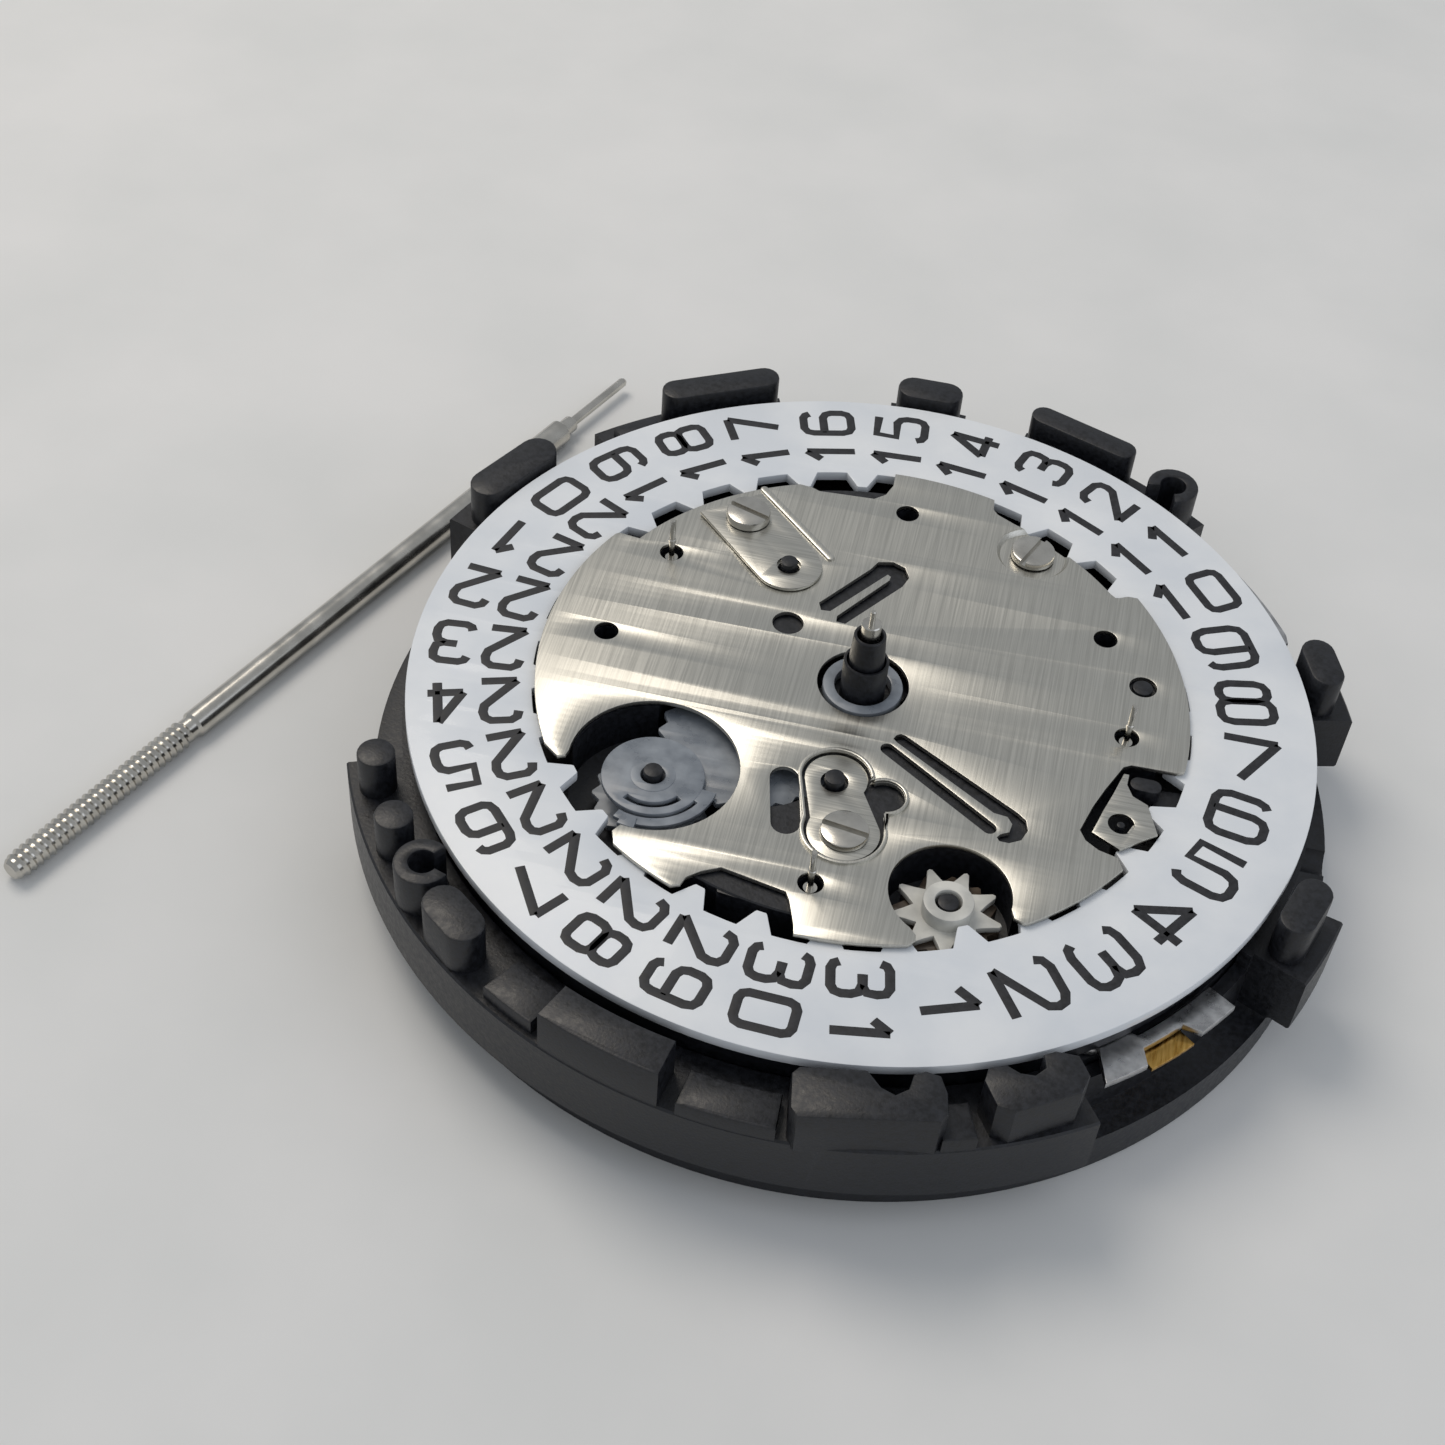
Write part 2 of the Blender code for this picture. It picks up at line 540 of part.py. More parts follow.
def eight_loop(grow):
    """Outline of the small clamp's two joined discs and its round side window."""
    top, low, window = (-0.05, -3.92), (0.52, -5.85), (1.43, -4.30)
    return (arc(0.92 + grow, 15, 190, 8, top) + arc(1.05 + grow, 170, 372, 10, low)
            + arc(0.5 + grow, -80, 130, 8, window))


def guard_plate():
    """Stamped plate over the date ring's teeth, with its dished screw seat."""
    plate = prism("guard_plate", [guard_outline()] + guard_holes(), GUARD_BOTTOM, GUARD_TOP, STEEL)
    cut(plate, prism("dish_hole", [circle(DISH_RADIUS - 0.1, DISH_AT, 16)], 0, GUARD_TOP + 1))
    screw_way = circle(SCREW_SHANK + PIVOT_FIT, DISH_AT, 8)
    dish = prism("dish", [circle(DISH_RADIUS, DISH_AT, 16), screw_way],
                 GUARD_BOTTOM - DISH_DEPTH, GUARD_BOTTOM + 0.03)
    trim = prism("trim", [sector(CUT_RADIUS, CUT_RADIUS + 2, 40, 75)], 0, GUARD_TOP + 1)
    unite(plate, dish)
    cut(plate, trim)
    return plate


def plates_and_screws():
    """Small clamp plates on the guard plate and the slotted screws that hold them."""
    clamp = [polar(CUT_RADIUS - 0.35, 122.5), polar(CUT_RADIUS - 0.35, 137.2)]
    clamp += arc(1.08, 225, 405, 10, (CLAMP_PIN[0] - 0.03, CLAMP_PIN[1]))
    bottom = GUARD_TOP + FIT / 2
    prism("rib_clamp", [clamp, circle(0.38, CLAMP_PIN, 12),
                        circle(SCREW_SHANK + PIVOT_FIT, CLAMP_SCREW, 12)],
          bottom, bottom + 0.12, STEEL)
    top, low = (-0.05, -3.92), (0.52, -5.85)
    eight = arc(0.92, -20, 195, 10, top) + arc(1.05, 165, 380, 10, low)
    prism("eight_clamp", [eight, circle(0.40, EIGHT_PIN, 12),
                          circle(SCREW_SHANK + PIVOT_FIT, EIGHT_SCREW, 12)],
          PLATFORM_TOP + FIT / 2, PLATFORM_TOP + FIT / 2 + 0.12, STEEL)
    seats = {"clamp_screw": (CLAMP_SCREW, bottom + 0.12, 0.70, 0.28, -18),
             "eight_screw": (EIGHT_SCREW, PLATFORM_TOP + FIT / 2 + 0.12, 0.70, 0.20, -8),
             "plate_screw": (DISH_AT, GUARD_BOTTOM + 0.03, 0.70, 0.24, 68)}
    for name, (at, seat, radius, height, angle) in seats.items():
        slotted_screw(name, at, seat + FIT / 2, radius, height, POCKET_FLOOR + 0.3, angle, 1)


def slotted_screw(name, at, seat, radius, height, tip, angle, up):
    """Cheese-head screw whose head lies on the seat, above it (up 1) or below it (up -1)."""
    face = seat + up * height
    edge = 0.06
    profile = [(0.0, face), (radius - edge, face), (radius, face - up * edge), (radius, seat),
               (SCREW_SHANK, seat), (SCREW_SHANK, tip), (0.0, tip)]
    if up < 0:
        profile.reverse()
    screw = turned(name, profile, 12, at, BRIGHT)
    low, high = sorted((face - up * 0.14, face + up * 0.2))
    slot = [(-radius - 0.1, -0.09), (radius + 0.1, -0.09), (radius + 0.1, 0.09),
            (-radius - 0.1, 0.09)]
    tool = prism("slot", [slot], low, high)
    tool.location = (at[0] * MM, at[1] * MM, 0)
    tool.rotation_euler = (0, 0, math.radians(angle))
    cut(screw, tool)
    return screw


def date_jumper():
    """Click plate on its pin, with the nose that stands between two teeth of the ring."""
    plate = [(8.02, -1.44), (8.18, -1.44), (8.16, -1.85), (8.36, -2.25), (8.82, -2.48),
             (9.20, -3.52), (8.20, -4.38), (7.36, -3.94), (7.58, -3.05), (7.80, -2.30)]
    gap = DATE_PHASE - 360.0 / DATE_TEETH * 10.5
    nose = [polar(TIP_RADIUS - 0.1, gap - 2.0), polar(ROOT_RADIUS - 0.25, gap - 0.6),
            polar(ROOT_RADIUS - 0.25, gap + 0.6), polar(TIP_RADIUS - 0.1, gap + 2.0)]
    origin = (*JUMPER_FOOT, GUARD_BOTTOM)
    obj = prism("date_jumper", [plate, circle(0.38, JUMPER_AT, 10)],
                GUARD_BOTTOM, GUARD_BOTTOM + 0.12, STEEL, origin)
    return unite(obj, prism("nose", [nose], DATE_BOTTOM + 0.05, GUARD_BOTTOM + 0.03))


def date_driving_wheel():
    """Nylon wheel with its gear below and, level with the date ring, a disc, arm and finger."""
    facing = bearing(DATE_WHEEL_AT, DATE_INTER_AT)
    bore = circle(0.28 + PIVOT_FIT, DATE_WHEEL_AT, 10)
    origin = (*DATE_WHEEL_AT, FLOOR_TOP)
    obj = prism("date_driving_wheel",
                [gear(16, DATE_DRIVE_PITCH, DATE_WHEEL_AT, facing, True), bore],
                POCKET_FLOOR + 0.25, POCKET_FLOOR + 0.47, CLEAR, origin)
    hub = prism("hub", [circle(0.52, DATE_WHEEL_AT, 12), bore], POCKET_FLOOR + 0.44,
                FLOOR_TOP + 1.12)
    disc = prism("disc", [circle(1.50, DATE_WHEEL_AT, 20), bore], FLOOR_TOP + 1.10,
                 DATE_TOP - 0.07)
    arm = arc(1.92, -5, -112, 7, DATE_WHEEL_AT) + arc(1.62, -112, -24, 6, DATE_WHEEL_AT)
    arm += [polar(1.30, -24, DATE_WHEEL_AT), polar(1.30, -5, DATE_WHEEL_AT)]
    finger = [polar(2.10, -91, DATE_WHEEL_AT), polar(2.10, -105, DATE_WHEEL_AT),
              polar(1.70, -105, DATE_WHEEL_AT), polar(1.70, -91, DATE_WHEEL_AT)]
    unite(obj, hub, disc, prism("arm", [arm], FLOOR_TOP + 1.12, DATE_TOP - 0.09),
          prism("finger", [finger], FLOOR_TOP + 1.14, DATE_TOP - 0.05))
    return obj


def date_intermediate():
    """Two-level wheel between the hour wheel and the date driving wheel."""
    bore = circle(0.35 + PIVOT_FIT, DATE_INTER_AT, 8)
    origin = (*DATE_INTER_AT, FLOOR_TOP)
    obj = prism("date_intermediate_wheel",
                [gear(24, INTER_PITCH, DATE_INTER_AT, bearing(DATE_INTER_AT, CENTRE), True), bore],
                FLOOR_TOP + 0.86, FLOOR_TOP + 1.05, IVORY, origin)
    low = gear(16, DATE_DRIVE_PITCH, DATE_INTER_AT, bearing(DATE_INTER_AT, DATE_WHEEL_AT))
    hub = [circle(0.8, DATE_INTER_AT, 10), circle(0.35 + PIVOT_FIT + 0.05, DATE_INTER_AT, 8)]
    return unite(obj, prism("low", [low, bore], POCKET_FLOOR + 0.25, POCKET_FLOOR + 0.42),
                 prism("hub", hub, POCKET_FLOOR + 0.35, FLOOR_TOP + 0.95))


def corrector_star():
    """Nine-toothed corrector star, at rest just under the date ring, and the gear below it."""
    tip_angle, step = bearing(CENTRE, STAR_AT) + 20.0, 40.0
    star = []
    for k in range(9):
        a = tip_angle + k * step
        star += [polar(0.95, a - 20, STAR_AT), polar(1.22, a - 8.5, STAR_AT),
                 polar(1.57, a, STAR_AT), polar(1.22, a + 8.5, STAR_AT)]
    bore = circle(0.30 + PIVOT_FIT, STAR_AT, 8)
    origin = (*STAR_AT, FLOOR_TOP)
    obj = prism("corrector_star", [star, bore], DATE_BOTTOM - 0.27, DATE_BOTTOM - FIT, IVORY,
                origin)
    unite(obj, prism("hub", [circle(0.72, STAR_AT, 12), bore], DATE_BOTTOM - 0.1, GUARD_BOTTOM + 0.05))
    prism("corrector_gear", [gear(12, 1.42, STAR_AT, 0, depth=0.16), bore],
          POCKET_FLOOR + 0.2, DATE_BOTTOM - 0.33, CLEAR, origin)
    return obj


# ---------------------------------------------------------------- hands


def motion_work():
    """Hour wheel, minute wheel and cannon pinion under the guard plate."""
    to_minute = bearing(CENTRE, MINUTE_WHEEL_AT)
    to_date = bearing(CENTRE, DATE_INTER_AT)
    pipe_bore = 0.58
    origin = (0, 0, FLOOR_TOP)
    hour = prism("hour_wheel", [gear(24, 1.90, CENTRE, to_minute), circle(pipe_bore + 0.04, CENTRE, 12)],
                 FLOOR_TOP + 0.42, FLOOR_TOP + 0.62, BLACK, origin)
    upper = [gear(12, HOUR_DATE_PITCH, CENTRE, to_date), circle(pipe_bore + 0.04, CENTRE, 12)]
    pipe = [(0.68, GUARD_TOP + 1.0), (0.68, FLOOR_TOP + 0.5), (pipe_bore, FLOOR_TOP + 0.5),
            (pipe_bore, GUARD_TOP + 1.0)]
    unite(hour, prism("upper", upper, FLOOR_TOP + 0.55, FLOOR_TOP + 1.08),
          turned("pipe", pipe, 16, closed=True))
    bore = 0.38
    cannon = [(0.48, GUARD_TOP + 2.05), (0.53, GUARD_TOP + 1.2), (0.53, ARBOR_BOTTOM + 0.75),
              (bore, ARBOR_BOTTOM + 0.75), (bore, GUARD_TOP + 2.05)]
    obj = turned("cannon_pinion", cannon, 12, mat=BLACK, closed=True)
    leaf = [gear(8, 0.60, CENTRE, to_minute), circle(bore + 0.05, CENTRE, 8)]
    unite(obj, prism("leaf", leaf, POCKET_FLOOR + 0.12, POCKET_FLOOR + 0.42))
    facing = bearing(MINUTE_WHEEL_AT, CENTRE)
    hole = circle(0.22 + PIVOT_FIT, MINUTE_WHEEL_AT, 8)
    minute = prism("minute_wheel", [gear(24, 1.80, MINUTE_WHEEL_AT, facing, True), hole],
                   POCKET_FLOOR + 0.14, POCKET_FLOOR + 0.34, IVORY, (*MINUTE_WHEEL_AT, FLOOR_TOP))
    unite(minute, prism("leaf", [gear(6, 0.48, MINUTE_WHEEL_AT, facing, True, 0.1), hole],
                        POCKET_FLOOR + 0.3, FLOOR_TOP + 0.66))
    washer = [circle(1.21, CENTRE, 20), circle(0.85, CENTRE, 16)]
    prism("dial_washer", washer, FLOOR_TOP + 1.10, GUARD_TOP - 0.06, CLEAR)


def arbor_profile(body, tip_top, tip_radius, shoulder):
    return [(0.0, tip_top), (tip_radius, tip_top), (tip_radius, shoulder), (body, shoulder),
            (body, ARBOR_BOTTOM), (0.0, ARBOR_BOTTOM)]


def wheel_body(name, at, arbor, layers, mat, arbor_steps=8):
    """Arbor with gears on it; layers are (outline, bottom, top)."""
    obj = turned(name, arbor, arbor_steps, at, mat)
    return unite(obj, *[prism("layer", [loop], low, high) for loop, low, high in layers])


def layer(level, outline):
    return (outline, LEVELS[level], LEVELS[level] + WHEEL_THICKNESS)


def hand_arbors():
    """Central chronograph arbor and the three small-hand arbors, each with its wheel."""
    centre = [(0.0, GUARD_TOP + 3.0), (0.08, GUARD_TOP + 3.0), (0.08, GUARD_TOP + 2.5),
              (0.30, GUARD_TOP + 2.5), (0.30, ARBOR_BOTTOM), (0.0, ARBOR_BOTTOM)]
    chrono = MOTORS["chrono"]
    wheel_body("chrono_seconds_arbor", CENTRE, centre,
               [layer(0, gear(16, HAND_MODULE * 16, CENTRE, chrono["swing"]))], BRIGHT, 10)
    for name, at, key in (("counter_10_arbor", HAND_10, "counter_10"),
                          ("counter_3_arbor", HAND_3, "counter_3"),
                          ("small_seconds_arbor", HAND_6, "seconds")):
        layers = [layer(0, gear(16, HAND_MODULE * 16, at, MOTORS[key]["swing"]))]
        if key == "seconds":
            layers.append((gear(6, TRAIN * 6, at, bearing(at, THIRD_AT)), LEVELS[0] + 0.1,
                           LEVELS[1] + WHEEL_THICKNESS))
        profile = arbor_profile(0.2, GUARD_TOP + 1.35, 0.09, GUARD_TOP - 0.2)
        wheel_body(name, at, profile, layers, BRIGHT)


def going_train():
    """Third wheel, minute drive wheel and centre wheel, from the small seconds to the minutes."""
    top = ARBOR_TOP
    to_seconds, to_drive = bearing(THIRD_AT, HAND_6), bearing(THIRD_AT, DRIVE_AT)
    wheel_body("third_wheel", THIRD_AT, arbor_profile(0.18, top, 0.12, top - 0.2),
               [layer(1, gear(24, TRAIN * 24, THIRD_AT, to_seconds, True)),
                (gear(6, TRAIN * 6, THIRD_AT, to_drive), LEVELS[1] + 0.1, LEVELS[2] + 0.14)], BRASS)
    back, on = bearing(DRIVE_AT, THIRD_AT), bearing(DRIVE_AT, IDLER_AT)
    wheel_body("minute_drive_wheel", DRIVE_AT, arbor_profile(0.18, top, 0.12, top - 0.2),
               [layer(2, gear(24, TRAIN * 24, DRIVE_AT, back, True)),
                (gear(8, TRAIN * 8, DRIVE_AT, on), LEVELS[2] + 0.1, LEVELS[3] + 0.14)], BRASS)
    from_drive, to_centre = bearing(IDLER_AT, DRIVE_AT), bearing(IDLER_AT, CENTRE)
    stud = [(0.0, top), (0.12, top), (0.12, top - 0.2), (0.16, top - 0.2), (0.16, LEVELS[3]),
            (0.0, LEVELS[3])]
    wheel_body("idler_wheel", IDLER_AT, stud,
               [layer(3, gear(12, TRAIN * 12, IDLER_AT, from_drive, True))], BRASS)
    toward = bearing(CENTRE, IDLER_AT)
    past_tooth = ((to_centre - from_drive - 15) % 30) / 30
    rim = gear(30, TRAIN * 30, CENTRE, toward + 12 * (0.5 + past_tooth))
    prism("centre_wheel", [rim, circle(0.53 + PIVOT_FIT, CENTRE, 12)], LEVELS[3],
          LEVELS[3] + WHEEL_THICKNESS, BRASS)


def motors():
    """For each stepping motor: intermediate wheel, rotor, stator and coil."""
    for name, motor in MOTORS.items():
        arbor, inter, rotor = motor["arbor"], motor["inter"], motor["rotor"]
        to_arbor, to_rotor = bearing(inter, arbor), bearing(inter, rotor)
        wheel_body(f"{name}_intermediate", inter,
                   arbor_profile(0.15, LEVELS[3] - 0.06, 0.1, LEVELS[2]),
                   [(gear(6, HAND_MODULE * 6, inter, to_arbor, True), LEVELS[0], LEVELS[1] + 0.05),
                    layer(1, gear(16, ROTOR_MODULE * 16, inter, to_rotor, True))], IVORY)
        magnet = [(0.0, ARBOR_TOP), (0.12, ARBOR_TOP), (0.12, LEVELS[3] + 0.14),
                  (0.55, LEVELS[3] + 0.14), (0.55, LEVELS[2] - 0.02), (0.12, LEVELS[2] - 0.02),
                  (0.12, ARBOR_BOTTOM), (0.0, ARBOR_BOTTOM)]
        pinion = gear(6, ROTOR_MODULE * 6, rotor, bearing(rotor, inter), depth=0.1)
        wheel_body(f"{name}_rotor", rotor, magnet, [layer(1, pinion)], IRON, 10)
        stator_and_coil(name, motor)


def stator_and_coil(name, motor):
    """Flat stator with two ears, and the coil that lies between the ears."""
    start, end, side = motor["start"], motor["end"], motor["side"]
    inner, outer = 0.72 * side, 2.60 * side
    ear = 0.85
    outline = [(start, -inner), (end, -inner), (end, outer), (end - ear, outer),
               (end - ear, inner), (start + ear, inner), (start + ear, outer), (start, outer)]
    low, high = LEVELS[2] + 0.02, LEVELS[3] - 0.04

    def at_motor(points):
        a = math.radians(motor["bar"])
        x0, y0 = motor["rotor"]
        return [(x0 + x * math.cos(a) - y * math.sin(a), y0 + x * math.sin(a) + y * math.cos(a))
                for x, y in points]

    hole = circle(0.68, motor["rotor"], 10)
    prism(f"{name}_stator", [at_motor(outline), hole], low, high, IRON)
    gap = FIT
    wound = [(start + ear + gap, inner + 0.28 * side), (end - ear - gap, inner + 0.28 * side),
             (end - ear - gap, outer), (start + ear + gap, outer)]
    prism(f"{name}_coil", [at_motor(wound)], ARBOR_BOTTOM + 0.32, ARBOR_TOP - 0.08, COPPER)


# ---------------------------------------------------------------- back


def back_loops(radius, battery_room, notch_stem):
    loop = arc(radius, 9, 351, 36) if notch_stem else circle(radius, CENTRE, 36)
    if notch_stem:
        loop += [(10.2, -1.9), (10.2, 1.9)]
    holes = [circle(battery_room, BATTERY_AT, 20)]
    holes += [circle(SCREW_SHANK + PIVOT_FIT, p, 8) for p in SCREW_PLACES]
    return loop, holes


def back_plates():
    """Train bridge, circuit board and circuit cover, each open for the battery."""
    room = BATTERY_RADIUS + GAP
    loop, holes = back_loops(BACK_RADIUS, room, True)
    windows = [capsule((-9.6, 0.8), (-9.6, -1.6), 0.6, 3), circle(0.9, (5.4, -1.6), 10)]
    prism("train_bridge", [loop] + holes + windows[:1], BRIDGE_BOTTOM, BRIDGE_TOP, STEEL)
    prism("circuit_board", [loop] + holes + windows, BOARD_BOTTOM, BOARD_TOP, BOARD)
    stamped = [capsule((-4.2, 1.2), (-4.9, 4.6), 0.9, 3), capsule((-7.2, -1.6), (-7.2, 1.4), 0.9, 6),
               capsule((-3.4, -6.8), (-5.6, -6.2), 0.9, 3), capsule((7.0, -5.0), (8.2, -6.4), 0.9, 3)]
    prism("circuit_cover", [loop] + holes + stamped, COVER_BOTTOM, COVER_TOP, STEEL)
    for number, at in enumerate(SCREW_PLACES, 1):
        slotted_screw(f"cover_screw_{number}", at, COVER_BOTTOM - FIT / 2, SCREW_HEAD, 0.2,
                      FLOOR_TOP - 0.45, 30 * number, -1)


def battery_and_strap():
    """Button cell in its opening and the sprung strap that holds it."""
    top = ARBOR_TOP - 0.03
    low = top - BATTERY_HEIGHT
    edge = 0.25
    rim = 0.35
    profile = [(0.0, top), (BATTERY_RADIUS - edge - rim, top), (BATTERY_RADIUS - rim, top - edge),
               (BATTERY_RADIUS - rim, top - 0.45), (BATTERY_RADIUS, top - 0.55),
               (BATTERY_RADIUS, low + 0.15), (BATTERY_RADIUS - 0.15, low), (0.0, low)]
    turned("battery", profile, 24, BATTERY_AT, BRIGHT)
    strap = capsule(STRAP_END, (BATTERY_AT[0] + 2.8, BATTERY_AT[1]), 0.9, 5)
    prism("battery_strap", [strap], COVER_BOTTOM - FIT - 0.15, COVER_BOTTOM - FIT, STEEL)


STRAP_END = (-2.9, 7.8)

# ---------------------------------------------------------------- edge pieces


def pusher_levers():
    """Sprung steel levers behind the two pushers, and the brass contact by the lower one."""
    names = ("upper_pusher_lever", "lower_pusher_lever")
    rim = DATE_RADIUS + 0.75
    for name, (side, bottom) in zip(names, LEVERS):
        pivot = polar(LEVER_PIVOT, side * LEVER_ANGLE)
        if side > 0:
            edge = arc(rim, 46.0, 29.0, 6) + [polar(rim - 0.1, 27.6), polar(rim - 0.9, 27.4)]
            edge += [polar(rim - 0.8, 28.6), polar(rim - 0.45, 29.6)]
            edge += arc(rim - 0.5, 31.0, 44.0, 4)
        else:
            edge = arc(rim, -52.0, -46.5, 2) + arc(rim - 0.5, -45.5, -39.5, 2)
            edge += arc(rim, -38.5, -33.0, 2) + arc(rim - 0.9, -33.0, -45.0, 4)
        hub = [polar(0.62, side * (LEVER_ANGLE - 100 - k * 32), pivot) for k in range(9)]
        prism(name, [edge + hub, circle(0.24 + PIVOT_FIT, pivot, 8)], bottom,
              bottom + LEVER_THICKNESS, BRIGHT, (*pivot, bottom))
    low = LEVERS[1][1] - 0.25
    prism("contact_spring", [sector(DATE_RADIUS - 0.1, rim, -45.6, -39.4, 2)], low, low + 0.15, BRASS)


def setting_parts():
    """Setting lever and yoke beside the stem's way."""
    low = LEVELS[1]
    bore = 0.24 + PIVOT_FIT
    lever = [(9.95, 0.72), (10.9, 0.75), (11.9, 1.25), (11.8, 2.35), (11.0, 2.5), (9.9, 1.6)]
    prism("setting_lever", [lever, circle(bore, SETTING_AT, 8)], low, low + 0.35, STEEL,
          (*SETTING_AT, low))
    yoke = [(9.75, -0.72), (11.7, -0.72), (11.9, -1.1), (11.2, -1.5), (11.2, -3.1), (10.0, -3.1),
            (10.0, -1.6), (9.75, -1.3)]
    prism("yoke", [yoke, circle(bore, YOKE_AT, 8)], low, low + 0.35, STEEL, (*YOKE_AT, low))


def stem():
    """Winding stem lying beside the holder: thread, body, neck and thin pilot."""
    r, length = STEM_RADIUS, STEM_LENGTH
    profile = [(0.0, length), (0.12, length), (0.17, length - 0.1), (0.17, length - 3.2),
               (0.30, length - 3.2), (0.30, length - 3.8), (r, length - 3.8), (r, length - 6.6),
               (0.28, length - 6.6), (0.28, length - 7.1), (r, length - 7.1), (r, 7.6),
               (r - 0.05, 7.5), (r - 0.05, 0.15), (r - 0.18, 0.0), (0.0, 0.0)]
    obj = turned("stem", profile, 12, STEM_AT, BRIGHT)
    obj.location.z = r * MM
    obj.rotation_euler = (0.0, math.radians(90), math.radians(STEM_HEADING))


def main():
    holder_ring()
    main_plate()
    date_ring()
    guard_plate()
    plates_and_screws()
    date_jumper()
    date_driving_wheel()
    date_intermediate()
    corrector_star()
    motion_work()
    hand_arbors()
    going_train()
    motors()
    back_plates()
    battery_and_strap()
    pusher_levers()
    setting_parts()
    stem()


main()
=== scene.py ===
# %% [markdown]
# # A calendar watch movement in its holder ring
# The holder ring is a black moulded collar. It grips a quartz calendar movement by its
# rim and lets it sit in a case, or on a bench, dial side up. We start from the packed
# solids, which fix every size and joint, and give the pieces their real shape and finish.

# %% Load the fixed frame
import json
import math

import bpy
from mathutils import Matrix, Vector

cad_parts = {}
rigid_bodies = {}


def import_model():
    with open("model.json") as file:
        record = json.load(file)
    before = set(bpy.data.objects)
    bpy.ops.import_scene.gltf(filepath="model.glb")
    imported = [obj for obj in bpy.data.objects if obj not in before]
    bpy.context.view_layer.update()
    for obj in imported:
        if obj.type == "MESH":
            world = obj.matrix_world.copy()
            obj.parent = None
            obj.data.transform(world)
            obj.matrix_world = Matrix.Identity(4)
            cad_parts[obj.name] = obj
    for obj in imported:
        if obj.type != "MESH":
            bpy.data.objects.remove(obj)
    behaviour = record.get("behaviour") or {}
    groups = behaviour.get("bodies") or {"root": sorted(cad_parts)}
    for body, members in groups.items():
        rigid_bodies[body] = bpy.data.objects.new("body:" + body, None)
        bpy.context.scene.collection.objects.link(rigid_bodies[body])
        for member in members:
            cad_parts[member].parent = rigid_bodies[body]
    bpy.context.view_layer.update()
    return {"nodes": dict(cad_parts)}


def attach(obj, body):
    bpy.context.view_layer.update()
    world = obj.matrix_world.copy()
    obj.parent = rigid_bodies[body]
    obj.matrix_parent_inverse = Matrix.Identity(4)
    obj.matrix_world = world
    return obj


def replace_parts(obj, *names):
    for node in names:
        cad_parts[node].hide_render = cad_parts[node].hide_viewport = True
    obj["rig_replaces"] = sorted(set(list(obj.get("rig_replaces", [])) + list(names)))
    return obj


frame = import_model()
scene = bpy.context.scene

# %% [markdown]
# Everything below is measured in millimetres from the movement's own axis, because that
# is how a watchmaker's drawing gives it. One constant turns a millimetre into metres.

# %% Sizes in millimetres
MM = 0.001
DATE_R, DATE_ROOT, DATE_TIP = 13.6, 9.88, 9.20
DATE_LOW, DATE_HIGH = 4.50, 4.85
FLOOR, PLATFORM = 3.50, 4.85
GUARD_LOW, GUARD_HIGH, GUARD_R = 4.90, 5.05, 9.8
LEDGE, POST_TOP = 3.60, 5.05
HAND_R = 7.95
CENTRE = (0.0, 0.0)


def polar(radius, degrees, centre=CENTRE):
    a = math.radians(degrees)
    return (centre[0] + radius * math.cos(a), centre[1] + radius * math.sin(a))


def sweep(radius, start, end, steps, centre=CENTRE):
    """Points along an arc, both ends included."""
    return [polar(radius, start + (end - start) * k / steps, centre) for k in range(steps + 1)]


def disc(radius, centre=CENTRE, steps=48):
    return sweep(radius, 0, 360 - 360 / steps, steps - 1, centre)


def bar(p, q, half, steps=10):
    """Outline of a bar with round ends at p and q."""
    a = math.degrees(math.atan2(q[1] - p[1], q[0] - p[0]))
    return sweep(half, a - 90, a + 90, steps, q) + sweep(half, a + 90, a + 270, steps, p)


def band(inner, outer, start, end, steps=12):
    return sweep(outer, start, end, steps) + sweep(inner, end, start, steps)


def bearing(p, q):
    return math.degrees(math.atan2(q[1] - p[1], q[0] - p[0]))


HAND_3, HAND_6, HAND_10 = polar(HAND_R, 0), polar(HAND_R, -90), polar(HAND_R, 150)
HANDS = [HAND_3, HAND_6, HAND_10]
SPARE_HOLES = [polar(HAND_R, a) for a in (30, 90, 180)]
ARBOR_HOLE, SCREW_HOLE = 0.37, 0.38
BATTERY_AT = (2.9, 7.6)
print("hand arbors at", HAND_3, HAND_6, HAND_10)

# %% [markdown]
# ## Two ways to make a solid
# A watch is made of two kinds of piece. Wheels' arbors, pipes and screws come off a
# lathe, so we draw half of their outline and spin it round the axis. Plates, levers and
# gears are punched from sheet, so we draw their outline as a flat curve, give it
# thickness, and let the curve's own bevel round the edges as tumbling does.

# %% Lathe and press
def alone(obj):
    bpy.ops.object.select_all(action="DESELECT")
    obj.select_set(True)
    bpy.context.view_layer.objects.active = obj
    return obj


def smooth(obj, degrees=35):
    alone(obj)
    bpy.ops.object.shade_smooth_by_angle(angle=math.radians(degrees))
    return obj


def tidy(obj, weld=0.0004):
    """Weld the doubles of a new mesh and turn its faces outwards."""
    alone(obj)
    bpy.ops.object.mode_set(mode="EDIT")
    bpy.ops.mesh.select_all(action="SELECT")
    bpy.ops.mesh.remove_doubles(threshold=weld * MM)
    bpy.ops.mesh.normals_make_consistent(inside=False)
    bpy.ops.object.mode_set(mode="OBJECT")
    return obj


